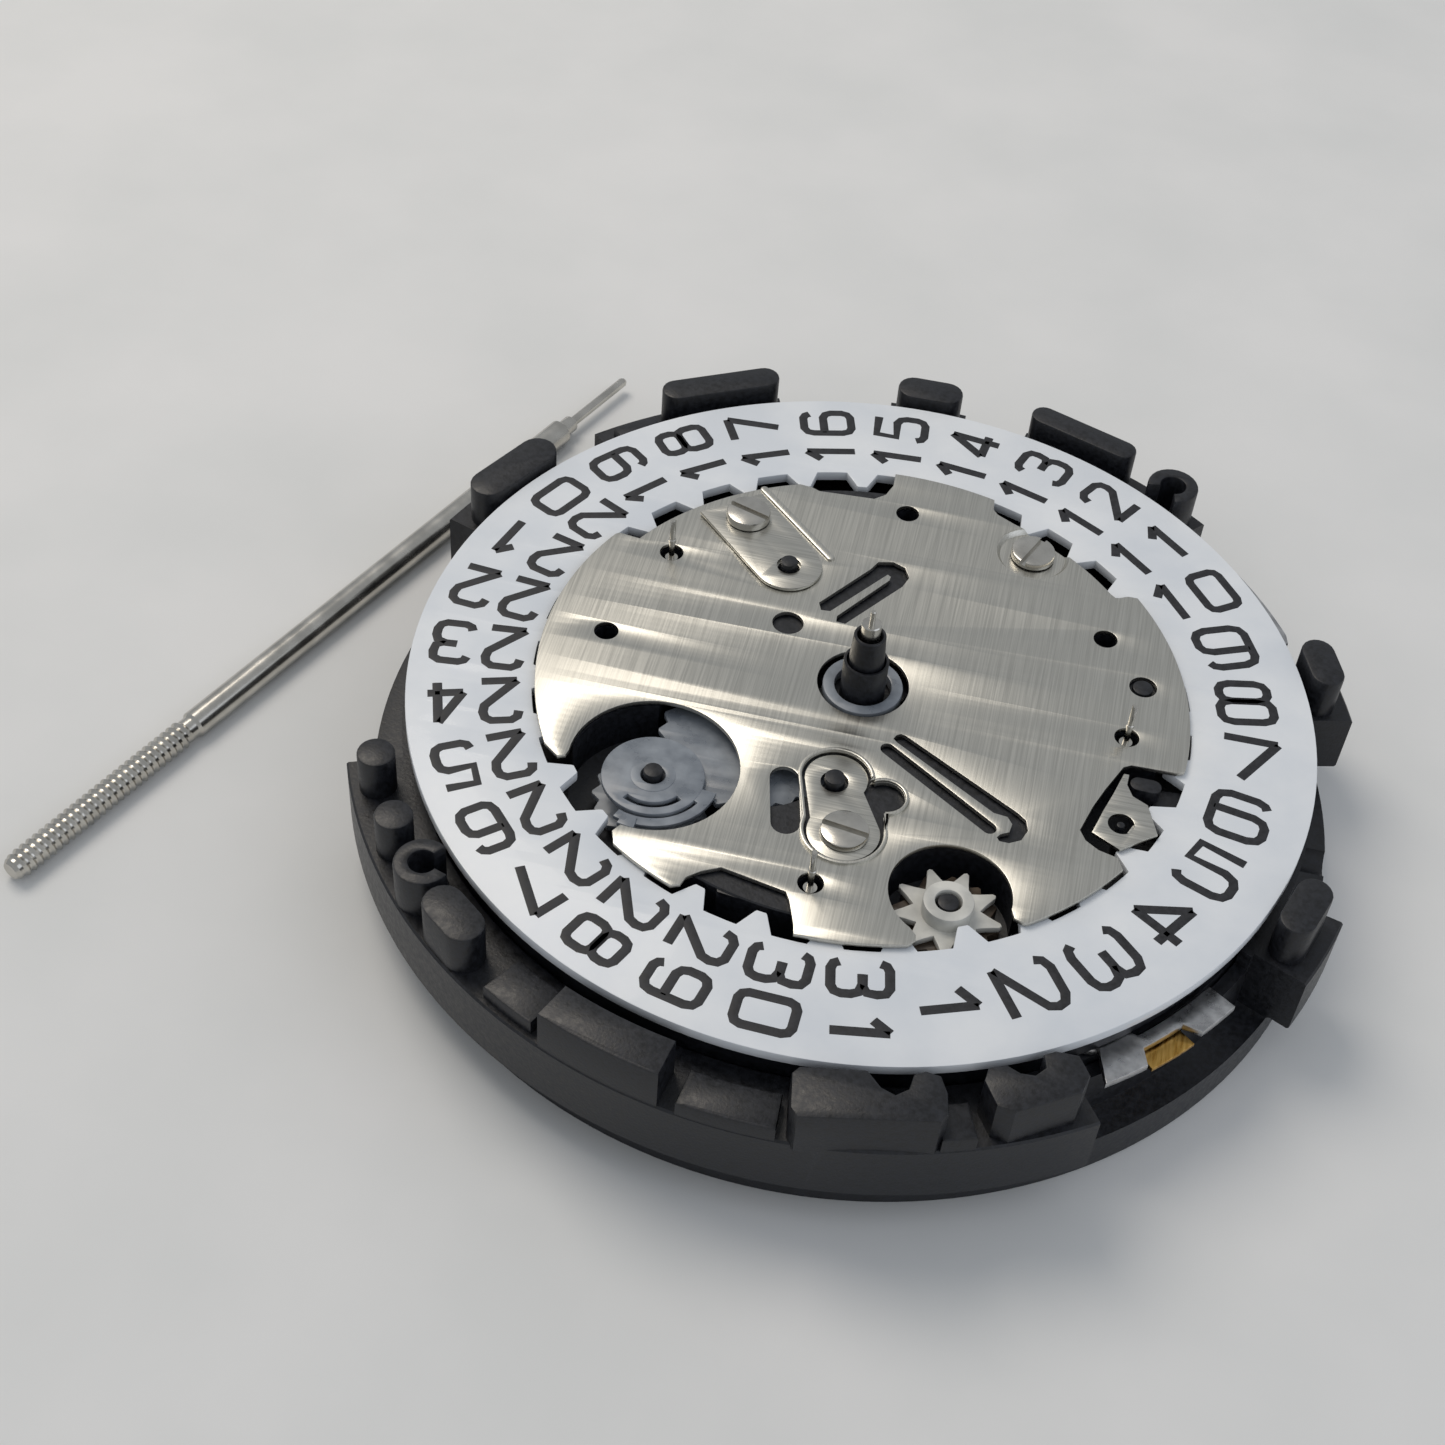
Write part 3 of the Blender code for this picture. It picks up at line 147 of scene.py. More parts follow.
def turn(name, profile, at=CENTRE, steps=48, closed=False):
    """Spin (radius, height) points round a vertical axis, as a lathe does."""
    bpy.ops.object.select_all(action="DESELECT")
    bpy.ops.mesh.primitive_plane_add(size=MM, location=(0, 0, 0))
    obj = bpy.context.active_object
    obj.name = name
    x, y = at[0] * MM, at[1] * MM
    bpy.ops.object.mode_set(mode="EDIT")
    bpy.ops.mesh.merge(type="CENTER")
    first = Vector((x + profile[0][0] * MM, y, profile[0][1] * MM))
    bpy.ops.transform.translate(value=first)
    points = profile[1:] + (profile[:1] if closed else [])
    here = profile[0]
    for point in points:
        move = ((point[0] - here[0]) * MM, 0, (point[1] - here[1]) * MM)
        bpy.ops.mesh.extrude_region_move(TRANSFORM_OT_translate={"value": move})
        here = point
    bpy.ops.mesh.select_all(action="SELECT")
    bpy.ops.mesh.spin(steps=steps, angle=math.tau, center=(x, y, 0), axis=(0, 0, 1))
    bpy.ops.object.mode_set(mode="OBJECT")
    return smooth(tidy(obj))


def press(name, loops, low, high, edge=0.02):
    """Punch a plate: the first loop less the loops inside it, with rounded edges."""
    curve = bpy.data.curves.new(name, "CURVE")
    curve.dimensions = "2D"
    curve.fill_mode = "BOTH"
    curve.extrude = (high - low) / 2 - edge
    curve.bevel_depth = edge
    curve.bevel_resolution = 1
    curve.offset = -edge
    for loop in loops:
        spline = curve.splines.new("POLY")
        spline.points.add(len(loop) - 1)
        for point, (x, y) in zip(spline.points, loop):
            point.co = (x, y, 0.0, 1.0)
        spline.use_cyclic_u = True
    obj = bpy.data.objects.new(name, curve)
    scene.collection.objects.link(obj)
    alone(obj)
    bpy.ops.object.convert(target="MESH")
    obj = bpy.context.active_object
    bpy.ops.object.mode_set(mode="EDIT")
    bpy.ops.mesh.select_all(action="SELECT")
    bpy.ops.transform.translate(value=(0, 0, (low + high) / 2))
    bpy.ops.transform.resize(value=(MM, MM, MM), center_override=(0, 0, 0))
    bpy.ops.object.mode_set(mode="OBJECT")
    return smooth(tidy(obj))


def weld_on(obj, *others):
    """Join pieces that are one casting, by a Boolean union."""
    return carve(obj, *others, how="UNION")


def carve(obj, *tools, how="DIFFERENCE"):
    for tool in tools:
        alone(obj)
        modifier = obj.modifiers.new("cut", "BOOLEAN")
        modifier.operation = how
        modifier.solver = "EXACT"
        modifier.object = tool
        bpy.ops.object.modifier_apply(modifier=modifier.name)
        bpy.data.objects.remove(tool)
    return smooth(obj)


# %% [markdown]
# A finished piece rides on the body that carries it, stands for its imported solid, and
# wears one material. `fit` does these three things at once.

# %% Fit a piece
def fit(obj, body, material, *nodes, slot=None):
    obj.data.materials.clear()
    obj.data.materials.append(material)
    for polygon in obj.data.polygons:
        polygon.material_index = 0
    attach(obj, body)
    if nodes:
        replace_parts(obj, *nodes)
    return obj


# %% [markdown]
# ## Finishes
# Colours are written as sRGB hex, the way a colour card gives them, and one function
# turns them into the linear values that Blender mixes. `node` adds any node with its
# settings and links. `finish` uses it to give a real surface its three signs: a tone that
# drifts, a gloss that is uneven, and a fine relief, each with a size in millimetres.

# %% Colour, node and finish
def colour(code):
    values = [int(code[k:k + 2], 16) / 255 for k in (1, 3, 5)]
    linear = [v / 12.92 if v <= 0.04045 else ((v + 0.055) / 1.055) ** 2.4 for v in values]
    return (*linear, 1.0)


def node(tree, kind, links=None, **settings):
    """Add a node, set its properties or inputs by name, and link inputs from sockets."""
    new = tree.nodes.new(kind)
    for key, value in settings.items():
        if hasattr(new, key):
            setattr(new, key, value)
        else:
            new.inputs[key.replace("_", " ")].default_value = value
    for socket, source in (links or {}).items():
        tree.links.new(source, new.inputs[socket])
    return new


def finish(name, dark, light, gloss, metal=0.0, blotch=1.0, along=(1, 1, 1), grit=0.1,
           depth=0.003, pattern=None, **shader_values):
    """A finish with blotches and grit that many mm across; gloss is a roughness range."""
    mat = bpy.data.materials.new(name)
    mat.use_nodes = True
    tree = mat.node_tree
    shader = tree.nodes["Principled BSDF"]
    shader.inputs["Metallic"].default_value = metal
    for socket, value in shader_values.items():
        shader.inputs[socket.replace("_", " ")].default_value = value
    place = node(tree, "ShaderNodeTexCoord")
    in_mm = node(tree, "ShaderNodeMapping", {"Vector": place.outputs["Object"]},
                 Scale=[v / MM for v in along])
    at_mm = {"Vector": in_mm.outputs["Vector"]}
    if pattern:
        tone = node(tree, pattern[0], at_mm, **pattern[1])
    else:
        tone = node(tree, "ShaderNodeTexNoise", at_mm, Scale=1 / blotch, Detail=4.0)
    ramp = node(tree, "ShaderNodeValToRGB", {"Fac": tone.outputs[0]})
    for stop, position, code in zip(ramp.color_ramp.elements, (0.35, 0.65), (dark, light)):
        stop.position = position
        stop.color = colour(code)
    sheen = node(tree, "ShaderNodeMapRange", {"Value": tone.outputs[0]}, From_Min=0.3,
                 From_Max=0.7, To_Min=gloss[0], To_Max=gloss[1])
    grain = node(tree, "ShaderNodeTexNoise", at_mm, Scale=1 / grit, Detail=2.0)
    # With a pattern, the same tone both colours and raises the surface, so the colour follows the
    # relief. On the copper wire this is painted shade in the grooves and painted highlight on the
    # crests.
    height = tone if pattern else grain
    bump = node(tree, "ShaderNodeBump", {"Height": height.outputs[0]}, Strength=0.5,
                Distance=depth * MM)
    tree.links.new(ramp.outputs["Color"], shader.inputs["Base Color"])
    tree.links.new(sheen.outputs["Result"], shader.inputs["Roughness"])
    tree.links.new(bump.outputs["Normal"], shader.inputs["Normal"])
    return mat


# %% [markdown]
# ### Mouldings
# The ring and main plate are injection moulded in a black glass-filled polyester. The
# mould's spark-eroded skin leaves a grain of about 0.05 mm, drawn here at 0.09 mm so that
# it shows, with pale flecks of about 0.16 mm where glass lies at the skin. The date wheel is
# unpigmented nylon: grey, waxy, and a little clear. The star is white acetal, denser and
# shinier, and the gear under it is smoke-coloured nylon.

# %% Moulded plastics
black_pbt = finish("black_glass_filled_pbt", "#0e0f13", "#1f2127", (0.34, 0.5),
                   blotch=0.16, grit=0.09, depth=0.012)
natural_nylon = finish("natural_nylon", "#7f868f", "#a4abb3", (0.24, 0.38), blotch=0.8,
                       grit=0.14, Transmission_Weight=0.25, IOR=1.53)
smoked_nylon = finish("smoked_nylon", "#43392f", "#6a5d50", (0.26, 0.4), blotch=0.5,
                      Transmission_Weight=0.2, IOR=1.53)
white_acetal = finish("white_acetal", "#b9b9b4", "#d8d7d0", (0.3, 0.44), blotch=0.9)
print("four mouldings")

# %% [markdown]
# ### Lacquer and ink
# The date ring is a thin sheet sprayed with smooth white lacquer and then pad-printed.
# Lacquer is almost even, with a faint orange peel about 0.35 mm across. The ink is black
# and dull, and thinner at the edge of each figure, which gives it a slight mottle.

# %% White lacquer and printing ink
white_lacquer = finish("white_lacquer", "#dce1e7", "#eaedf0", (0.3, 0.42), blotch=3.0,
                       grit=0.35, depth=0.002, Coat_Weight=0.15)
print_ink = finish("black_pad_print_ink", "#141519", "#27282d", (0.42, 0.6), blotch=0.15)
print("lacquer and ink")

# %% [markdown]
# ### Steel, iron, brass and copper
# Sheet steel is brushed in one direction: here from 6 to 12 o'clock. Real brush lines are
# about 0.01 mm wide; these are 0.04 mm so that they show. A noise stretched 70 times
# along one axis makes streaks that change both tone and gloss, which is what makes sheet
# look brushed. Turned pieces get a fine even grain instead.

# %% Metals
brushed_steel = finish("brushed_nickel_steel", "#bebcb4", "#d0cec6", (0.29, 0.36), 1.0,
                       along=(24.0, 0.34, 24.0), grit=1.0, depth=0.0012)
clamp_steel = finish("brushed_clamp_steel", "#bbb9b1", "#d0cec6", (0.27, 0.36), 1.0,
                     along=(0.5, 20.0, 20.0), grit=1.0, depth=0.0012)
lever_steel = finish("spring_steel_strip", "#a5a5a6", "#c9c9c9", (0.24, 0.36), 1.0,
                     along=(3.0, 3.0, 26.0), grit=1.0, depth=0.001)
turned_steel = finish("turned_steel", "#b8b5ae", "#cdcac3", (0.18, 0.28), 1.0, blotch=0.8,
                      grit=0.3, depth=0.0008)
soft_iron = finish("soft_iron_stator", "#66676a", "#929395", (0.36, 0.5), 1.0,
                   along=(12, 0.8, 12), grit=1.0, depth=0.001)
brass = finish("rolled_brass", "#a67c38", "#d2aa60", (0.24, 0.38), 1.0, along=(10, 1, 10))
battery_steel = finish("pressed_battery_steel", "#b4b4b2", "#d9d9d6", (0.2, 0.34), 1.0,
                       blotch=2.2, grit=0.2)
# The copper wire is partly real colour and partly painted light. Its wave bands raise each turn.
# They colour it dark brown in the grooves between turns, as painted shade, and bright copper on
# the crests, as painted highlight.
copper_wire_painted_shade = finish("enamelled_copper_wire", "#5f2b14", "#c27440", (0.26, 0.4), 0.9,
                     pattern=("ShaderNodeTexWave", {"Scale": 4.0, "Distortion": 0.6}),
                     depth=0.02)
solder_mask = finish("green_solder_mask", "#2d6a49", "#173d2b", (0.3, 0.42),
                     pattern=("ShaderNodeTexVoronoi", {"distance": "MANHATTAN",
                                                       "Scale": 0.8}), depth=0.01)
print(len(bpy.data.materials), "materials")

# %% [markdown]
# ## The holder ring
# The real ring is one moulding: a flange, a smaller rim below it that seats in the case,
# a lip inside that the movement rests on, and a crown of posts, hooks and tabs that
# centre the dial. We turn the ring first and weld the posts on, so that it stays one
# closed solid with no seam where a post meets the ledge.

# %% Turn the ring
ring = turn("ring_moulding", [
    (13.40, LEDGE), (15.34, LEDGE), (15.40, 3.54), (15.40, 1.56), (15.34, 1.50),
    (14.78, 1.50), (14.70, 1.42), (14.70, 0.06), (14.64, 0.0), (13.42, 0.0), (13.36, 0.06),
    (13.36, 1.50), (12.66, 1.50), (12.66, 2.40), (13.36, 2.40), (13.36, 3.56)],
    steps=180, closed=True)
print("ring faces", len(ring.data.polygons))


# %% [markdown]
# Each post is a short prism with its own plan: round-ended bars, plain pegs, open hooks
# that a dial foot clips into, and low blocks. A plan given along the rim is turned to
# its clock angle by one small function.

# %% Posts, hooks and tabs
def on_rim(points, radius, degrees):
    a = math.radians(degrees)
    return [((radius + y) * math.cos(a) - x * math.sin(a),
             (radius + y) * math.sin(a) + x * math.cos(a)) for x, y in points]


def hook(inner, outer, opening, half_gap, centre, steps=20):
    first, last = opening + half_gap, opening + 360 - half_gap
    return sweep(outer, first, last, steps, centre) + sweep(inner, last, first, steps, centre)


MID, INNER, LOW = 14.525, 13.75, 4.10
rail_hook = [(-2.05, 0.45), (-1.85, 0.25), (-0.1, 0.25), (0.25, 0.75), (0.6, 0.95),
             (0.95, 0.75), (1.1, 0.3), (1.4, 0.17), (1.8, 0.3), (1.95, 0.8), (1.95, 1.45),
             (1.75, 1.7), (-1.9, 1.78), (-2.08, 1.5)]
rail_claw = [(-1.35, 0.6), (-1.1, 0.25), (-0.6, 0.3), (-0.35, 0.6), (0.0, 0.75),
             (0.35, 0.6), (0.45, 0.2), (0.8, 0.17), (1.35, 0.45), (1.4, 1.1), (1.0, 1.55),
             (-0.9, 1.7), (-1.3, 1.4)]
posts = [
    (bar(polar(MID - 0.1, 157.5), polar(MID - 0.1, 148.5), 0.62), POST_TOP),
    (band(INNER, 14.8, 129, 135), LOW),
    (bar(polar(14.78, 125.9), polar(14.78, 113.7), 0.5), POST_TOP),
    (bar(polar(MID, 93.4), polar(MID, 89.0), 0.56), POST_TOP),
    (bar(polar(14.8, 75.6), polar(14.8, 64.0), 0.44), POST_TOP),
    (hook(0.42, 0.84, 235, 42, polar(MID, 55.2)), POST_TOP),
    (bar(polar(MID - 0.12, 21.8), polar(MID - 0.12, 18.0), 0.52), POST_TOP),
    (bar(polar(MID - 0.12, -18.0), polar(MID - 0.12, -22.6), 0.52), POST_TOP),
    (on_rim(rail_claw, DATE_R, -61.4), POST_TOP),
    (on_rim(rail_hook, DATE_R, -78.6), POST_TOP),
    (band(14.25, 15.38, -71.5, -68.0), LOW),
    (band(14.25, 15.38, -97.5, -87.5), LOW),
    (band(14.2, 15.37, -113.0, -99.4), POST_TOP),
    (band(13.9, 15.2, -121.0, -114.4), LOW),
    (bar(polar(MID + 0.2, -130.0), polar(MID + 0.2, -126.4), 0.6), POST_TOP),
    (hook(0.40, 0.82, 20, 38, polar(MID, -136.0)), POST_TOP),
    (disc(0.55, polar(MID + 0.1, -143.5), 28), POST_TOP),
    (disc(0.55, polar(MID + 0.05, -153.0), 28), POST_TOP)]
for plan, top in posts:
    weld_on(ring, press("post", [plan], LEDGE - 0.2, top, 0.06))
print(len(posts), "posts; ring faces", len(ring.data.polygons))

# %% [markdown]
# The stem's way is drilled through the flange at 3 o'clock, and the lower pusher's lever
# works in a window. Behind and beside the movement the flange is left out between the
# posts, so that they stand alone. All are cut with Booleans, the modelling twin of the
# core pins that leave such holes in a moulding.

# %% Cut the stem's way and the lever window
bpy.ops.object.select_all(action="DESELECT")
bpy.ops.mesh.primitive_cylinder_add(vertices=40, radius=0.60 * MM, depth=4.0 * MM,
                                    location=(0.0144, 0, 0.00172),
                                    rotation=(0, math.radians(90), 0))
drill = bpy.context.active_object
window = press("window", [band(12.0, 16.4, -53, -26, 24)], 3.0, 3.9, 0.01)
carve(ring, drill, window)
FLANGE_GAPS = [(-55.0, -25.4), (-15.4, 15.4), (24.5, 51.3), (78.0, 86.3),
               (96.2, 111.0), (136.5, 145.5), (161.0, 203.0)]
for first, last in FLANGE_GAPS:
    carve(ring, press("gap", [band(INNER, 16.4, first, last, 24)], 1.40, 4.0, 0.01))
fit(ring, "holder", black_pbt, "holder_ring", slot="black_moulding")
print("ring done")

# %% [markdown]
# ## The main plate
# The movement's own plate is a second moulding. It is a round floor with a raised seat
# under the date ring and a platform in the middle, with pockets for the calendar wheels.
# Turning gives the steps; pressed cutters give the pockets.

# %% Turn and pocket the main plate
plate = turn("main_plate_moulding", [
    (0.0, PLATFORM), (8.96, PLATFORM), (9.0, 4.81), (9.0, FLOOR), (12.0, FLOOR),
    (12.0, 4.41), (12.04, 4.45), (13.26, 4.45), (13.30, 4.41), (13.30, 2.49),
    (13.26, 2.45), (0.0, 2.45)], steps=160)
DATE_WHEEL, STAR, JUMPER = (-5.20, -5.05), (3.80, -7.45), (8.14, -3.40)
CLAMP_PIN, CLAMP_SCREW = (-3.18, 4.30), (-4.90, 6.12)
EIGHT_PIN, EIGHT_SCREW, DISH = (-0.08, -4.05), (0.55, -5.90), (4.20, 7.22)
STEP_HOLE, FLUSH_PIN = (-2.70, 1.90), (8.22, 2.22)
HOUR_TO_DATE = math.hypot(*DATE_WHEEL)
HOUR_PITCH = HOUR_TO_DATE * 0.181
DRIVE_PITCH = (HOUR_TO_DATE - 3 * HOUR_PITCH) / 2
DATE_INTER = polar(3 * HOUR_PITCH, bearing(CENTRE, DATE_WHEEL))
MINUTE_WHEEL = polar(2.4, 20)
DATE_POCKET, STAR_POCKET = (-5.23, -4.87), (3.80, -7.25)
for at, radius in ((DATE_POCKET, 2.47), (STAR_POCKET, 1.83),
                   (DATE_INTER, 2 * HOUR_PITCH + 0.25), (CENTRE, 2.3), (MINUTE_WHEEL, 2.0)):
    carve(plate, press("pocket", [disc(radius, at, 56)], 3.4, 6.0, 0.01))
bay = [(7.0, -4.9), (9.4, -4.9), (9.4, -0.95), (7.0, -0.95)]
carve(plate, press("bay", [bay], 3.75, 6.0, 0.01),
      press("dish_way", [disc(1.45, DISH)], 4.63, 6.0, 0.01))
print("plate faces", len(plate.data.polygons))

# %% [markdown]
# Pins that the wheels turn on and small stop bars stand in the pockets. They are part of
# the same moulding, so they are welded on, and the arbors' bores are cut last, right
# through everything.

# %% Pins, stops and bores
pins = [(DATE_WHEEL, 0.28, 5.00), (STAR, 0.30, 4.90), (DATE_INTER, 0.35, 4.75),
        (MINUTE_WHEEL, 0.22, 4.75), (JUMPER, 0.12, 4.98), (CLAMP_PIN, 0.27, 5.37),
        (EIGHT_PIN, 0.30, 5.20), (FLUSH_PIN, 0.31, 5.03)]
stops = [([(9.02, -2.3), (9.02, -1.3), (9.85, -1.2), (9.8, -2.1)], 3.3, 4.45),
         (bar((8.50, -1.62), (8.90, -1.62), 0.26), 3.4, 4.92),
         ([(-3.1, 8.12), (-2.9, 8.75), (-1.1, 9.0), (-0.95, 8.75), (-1.4, 8.5)], 3.3, 4.45),
         ([(-2.6, -8.35), (-2.45, -8.75), (-0.75, -8.95), (-0.68, -8.6), (-0.9, -8.5)],
          3.3, 4.80)]
for at, radius, top in pins:
    weld_on(plate, press("pin", [disc(radius, at, 28)], 3.2, top, 0.03))
for plan, low, top in stops:
    weld_on(plate, press("stop", [plan], low, top, 0.03))
bores = [(CENTRE, 0.80, 0)] + [(at, ARBOR_HOLE, 0) for at in HANDS]
bores += [(at, ARBOR_HOLE, 3.8) for at in SPARE_HOLES]
for at, radius, low in bores:
    carve(plate, press("bore", [disc(radius, at, 32)], low, 6.0, 0.01))
print("plate faces", len(plate.data.polygons))

# %% Screw ways, lever slots and pillars
PEG_R, PEG_ANGLE = 12.7, 50.0
LEVER_LOW = {1: 3.72, -1: 3.30}
COVER_SCREWS = [(-6.2, 9.8), (-10.9, -3.8), (1.7, -11.4), (6.3, -9.8)]
for at in COVER_SCREWS:
    weld_on(plate, press("pillar", [disc(0.85, at, 32)], 1.0, 2.65, 0.03))
for at in ((11.0, 1.8), (10.6, -2.5)):
    weld_on(plate, press("peg", [disc(0.24, at, 20)], 1.0, 2.65, 0.02))
for side, low in LEVER_LOW.items():
    first, last = sorted((side * 26.0, side * 53.0))
    carve(plate, press("slot", [band(11.9, 14.0, first, last, 24)], low - 0.05, low + 0.30,
                       0.01))
    weld_on(plate, press("peg", [disc(0.24, polar(PEG_R, side * PEG_ANGLE), 20)], low - 0.2,
                         low + 0.45, 0.01))
for at in COVER_SCREWS:
    carve(plate, press("way", [disc(SCREW_HOLE, at, 20)], 0.5, 3.15, 0.01))
for at in (CLAMP_SCREW, EIGHT_SCREW, DISH):
    carve(plate, press("way", [disc(SCREW_HOLE, at, 20)], 3.6, 5.5, 0.01))
fit(plate, "holder", black_pbt, "main_plate", slot="black_moulding")
print("plate done,", len(plate.data.polygons), "faces")

# %% [markdown]
# ## The date ring
# Thirty-one teeth point inward, and the jumper's nose stands between two of them. Each
# tooth is a short trapezoid with a flat tip. One loop of points makes them all, so that
# the spacing is exact, and the press rounds both rims.

# %% Punch the date ring
TEETH, FIRST_TOOTH = 31, 100.5
STEP = 360 / TEETH
toothed = []
for k in range(TEETH):
    a = FIRST_TOOTH + k * STEP
    toothed += [polar(DATE_ROOT, a - 2.95), polar(DATE_TIP + 0.05, a - 1.12),
                polar(DATE_TIP, a - 0.85), polar(DATE_TIP, a + 0.85),
                polar(DATE_TIP + 0.05, a + 1.12), polar(DATE_ROOT, a + 2.95),
                polar(DATE_ROOT, a + 4.4), polar(DATE_ROOT, a + 7.2)]
date_ring = press("date_ring_sheet", [disc(DATE_R, CENTRE, 186), toothed], DATE_LOW,
                  DATE_HIGH, 0.03)
fit(date_ring, "date_ring", white_lacquer, "date_ring", slot="white_ring")
print("date ring faces", len(date_ring.data.polygons))

# %% [markdown]
# The dates 1 to 31 are pad-printed and read outwards along the radius. The figures are
# drawn with an even pen line on a small grid, squarish with rounded corners, and are not
# a typeface: each is one to three strokes of (x, y) points with its corners cut, and a
# sharp corner is where two strokes meet. A round bevel gives the line its width, and
# squashing it flat leaves a film of ink.

# %% Strokes of the figures
def loop(low, high, left=0.0, right=1.0, cut=0.22):
    """A squarish ring of points with rounded corners."""
    rise = cut * 0.72
    return [(left + cut, low), (right - cut, low), (right - cut * 0.3, low + rise * 0.3),
            (right, low + rise), (right, high - rise), (right - cut * 0.3, high - rise * 0.3),
            (right - cut, high), (left + cut, high), (left + cut * 0.3, high - rise * 0.3),
            (left, high - rise), (left, low + rise), (left + cut * 0.3, low + rise * 0.3)]


FIGURES = {
    "0": [(loop(0, 1), True)],
    "1": [([(0.25, 0.72), (0.62, 1.0)], False), ([(0.62, 1.0), (0.62, 0.0)], False)],
    "2": [([(0.0, 0.78), (0.05, 0.92), (0.22, 1.0), (0.78, 1.0), (0.95, 0.92), (1.0, 0.78),
            (0.95, 0.62), (0.0, 0.0)], False), ([(0.0, 0.0), (1.0, 0.0)], False)],
    "3": [([(0.0, 0.85), (0.06, 0.95), (0.22, 1.0), (0.76, 1.0), (0.94, 0.93), (0.98, 0.78),
            (0.94, 0.61), (0.76, 0.54), (0.36, 0.54)], False),
          ([(0.70, 0.54), (0.93, 0.47), (1.0, 0.34), (1.0, 0.18), (0.93, 0.06), (0.76, 0.0),
            (0.22, 0.0), (0.06, 0.05), (0.0, 0.15)], False)],
    "4": [([(1.0, 0.26), (0.0, 0.26)], False), ([(0.0, 0.26), (0.72, 1.0)], False),
          ([(0.72, 1.0), (0.72, 0.0)], False)],
    "5": [([(0.94, 1.0), (0.08, 1.0), (0.04, 0.58), (0.74, 0.60), (0.93, 0.53), (1.0, 0.40),
            (1.0, 0.18), (0.93, 0.06), (0.76, 0.0), (0.22, 0.0), (0.06, 0.05), (0.0, 0.16)],
           False)],
    "6": [([(0.94, 0.86), (0.88, 0.95), (0.74, 1.0), (0.24, 1.0), (0.06, 0.93), (0.0, 0.80),
            (0.0, 0.20), (0.07, 0.06), (0.24, 0.0), (0.76, 0.0), (0.93, 0.06), (1.0, 0.18),
            (1.0, 0.40), (0.93, 0.52), (0.76, 0.58), (0.02, 0.58)], False)],
    "7": [([(0.0, 1.0), (1.0, 1.0)], False), ([(1.0, 1.0), (0.34, 0.0)], False)],
    "8": [(loop(0, 0.54), True), (loop(0.54, 1, 0.04, 0.96), True)]}
FIGURES["9"] = [([(1 - x, 1 - y) for x, y in FIGURES["6"][0][0]], False)]
TALL, WIDE, PAIR, PEN = 1.60, 1.60, 1.05, 0.145
print(len(FIGURES), "figures drawn")


# %% Print the dates
def stamp(text, angle):
    curve = bpy.data.curves.new("date_" + text, "CURVE")
    curve.dimensions = "3D"
    curve.bevel_depth = PEN
    curve.bevel_resolution = 1
    curve.use_fill_caps = True
    across = PAIR if len(text) == 2 else WIDE
    starts = [-1.33, 0.27] if len(text) == 2 else [-WIDE / 2]
    for figure, left in zip(text, starts):
        for points, closed in FIGURES[figure]:
            spline = curve.splines.new("POLY")
            spline.points.add(len(points) - 1)
            for point, (x, y) in zip(spline.points, points):
                point.co = (left + x * across, (y - 0.5) * TALL, 0.0, 1.0)
            spline.use_cyclic_u = closed
    made = bpy.data.objects.new("date_" + text, curve)
    scene.collection.objects.link(made)
    alone(made)
    bpy.ops.object.convert(target="MESH")
    made = bpy.context.active_object
    turned = Matrix.Rotation(math.radians(angle), 4, "Z")
    made.data.transform(turned @ Matrix.Translation((11.62 * MM, 0, (DATE_HIGH + 0.002) * MM))
                        @ Matrix.Diagonal((MM, MM, 0.05 * MM, 1)))
    return smooth(made, 60)


for day in range(1, 32):
    printed = stamp(str(day), -79.8 + STEP * day)
    fit(printed, "date_ring", print_ink, slot="black_moulding")
print("31 dates printed")

# %% [markdown]
# ## The guard plate
# This thin plate keeps the date ring down. Its rim is notched where wheels, moulded
# stops and the jumper come through, and narrow slots free spring tongues in the sheet.
# The outline is drawn counter-clockwise from 3 o'clock, arc by arc.

# %% Outline of the guard plate
CUT_R = 9.12
notch_12 = on_rim([(-0.05, -0.6), (0.15, -1.1), (0.5, -1.38), (2.3, -1.38), (2.55, -1.25)],
                  GUARD_R, 94.6)
outline = (
    [polar(GUARD_R - 0.02, -5.4)] + sweep(GUARD_R, -4.5, 38.5, 30)
    + [polar(9.55, 39.6), polar(CUT_R + 0.05, 40.0)] + sweep(CUT_R, 41.5, 68.0, 16)
    + [(2.85, 8.75), (2.68, 8.95), (2.66, 9.25)] + sweep(GUARD_R, 74.4, 94.2, 14)
    + notch_12 + sweep(CUT_R, 113.5, 148.0, 20) + [(-8.02, 4.32), polar(9.75, 153.2)]
    + sweep(GUARD_R, 154.0, 210.2, 36) + [polar(9.7, 211.8), (-7.98, -5.32), (-7.76, -5.22)]
    + sweep(2.49, 183.5, -98.0, 48, DATE_POCKET) + [(-5.74, -7.62), polar(9.72, -125.4)]
    + sweep(GUARD_R, -124.8, -112.2, 8)
    + [(-3.45, -8.95), (-3.36, -8.68), (-3.0, -8.36), (-2.5, -8.08), (-0.6, -8.43),
       (-0.45, -8.7), (-0.17, -9.5)]
    + sweep(GUARD_R, -90.6, -72.4, 12) + [(3.14, -9.16), (3.12, -8.95)]
    + sweep(1.73, 239.0, -4.0, 40, STAR_POCKET) + [(5.64, -7.66), polar(9.74, -52.6)]
    + sweep(GUARD_R, -52.0, -31.4, 14)
    + [(8.18, -4.72), (7.62, -4.58), (7.22, -4.32), (7.02, -3.98), (7.28, -3.0),
       (7.55, -2.25), (7.98, -1.22), (8.2, -1.08), (9.5, -1.02)])
print("outline points", len(outline))


# %% Slots and holes of the guard plate
LOBE_UP, LOBE_DOWN = (-0.05, -3.92), (0.52, -5.85)


def eight(grow, steps=24):
    return (sweep(0.92 + grow, 15, 190, steps, LOBE_UP)
            + sweep(1.05 + grow, 170, 372, steps, LOBE_DOWN)
            + sweep(0.5 + grow, -80, 130, steps, (1.43, -4.30)))


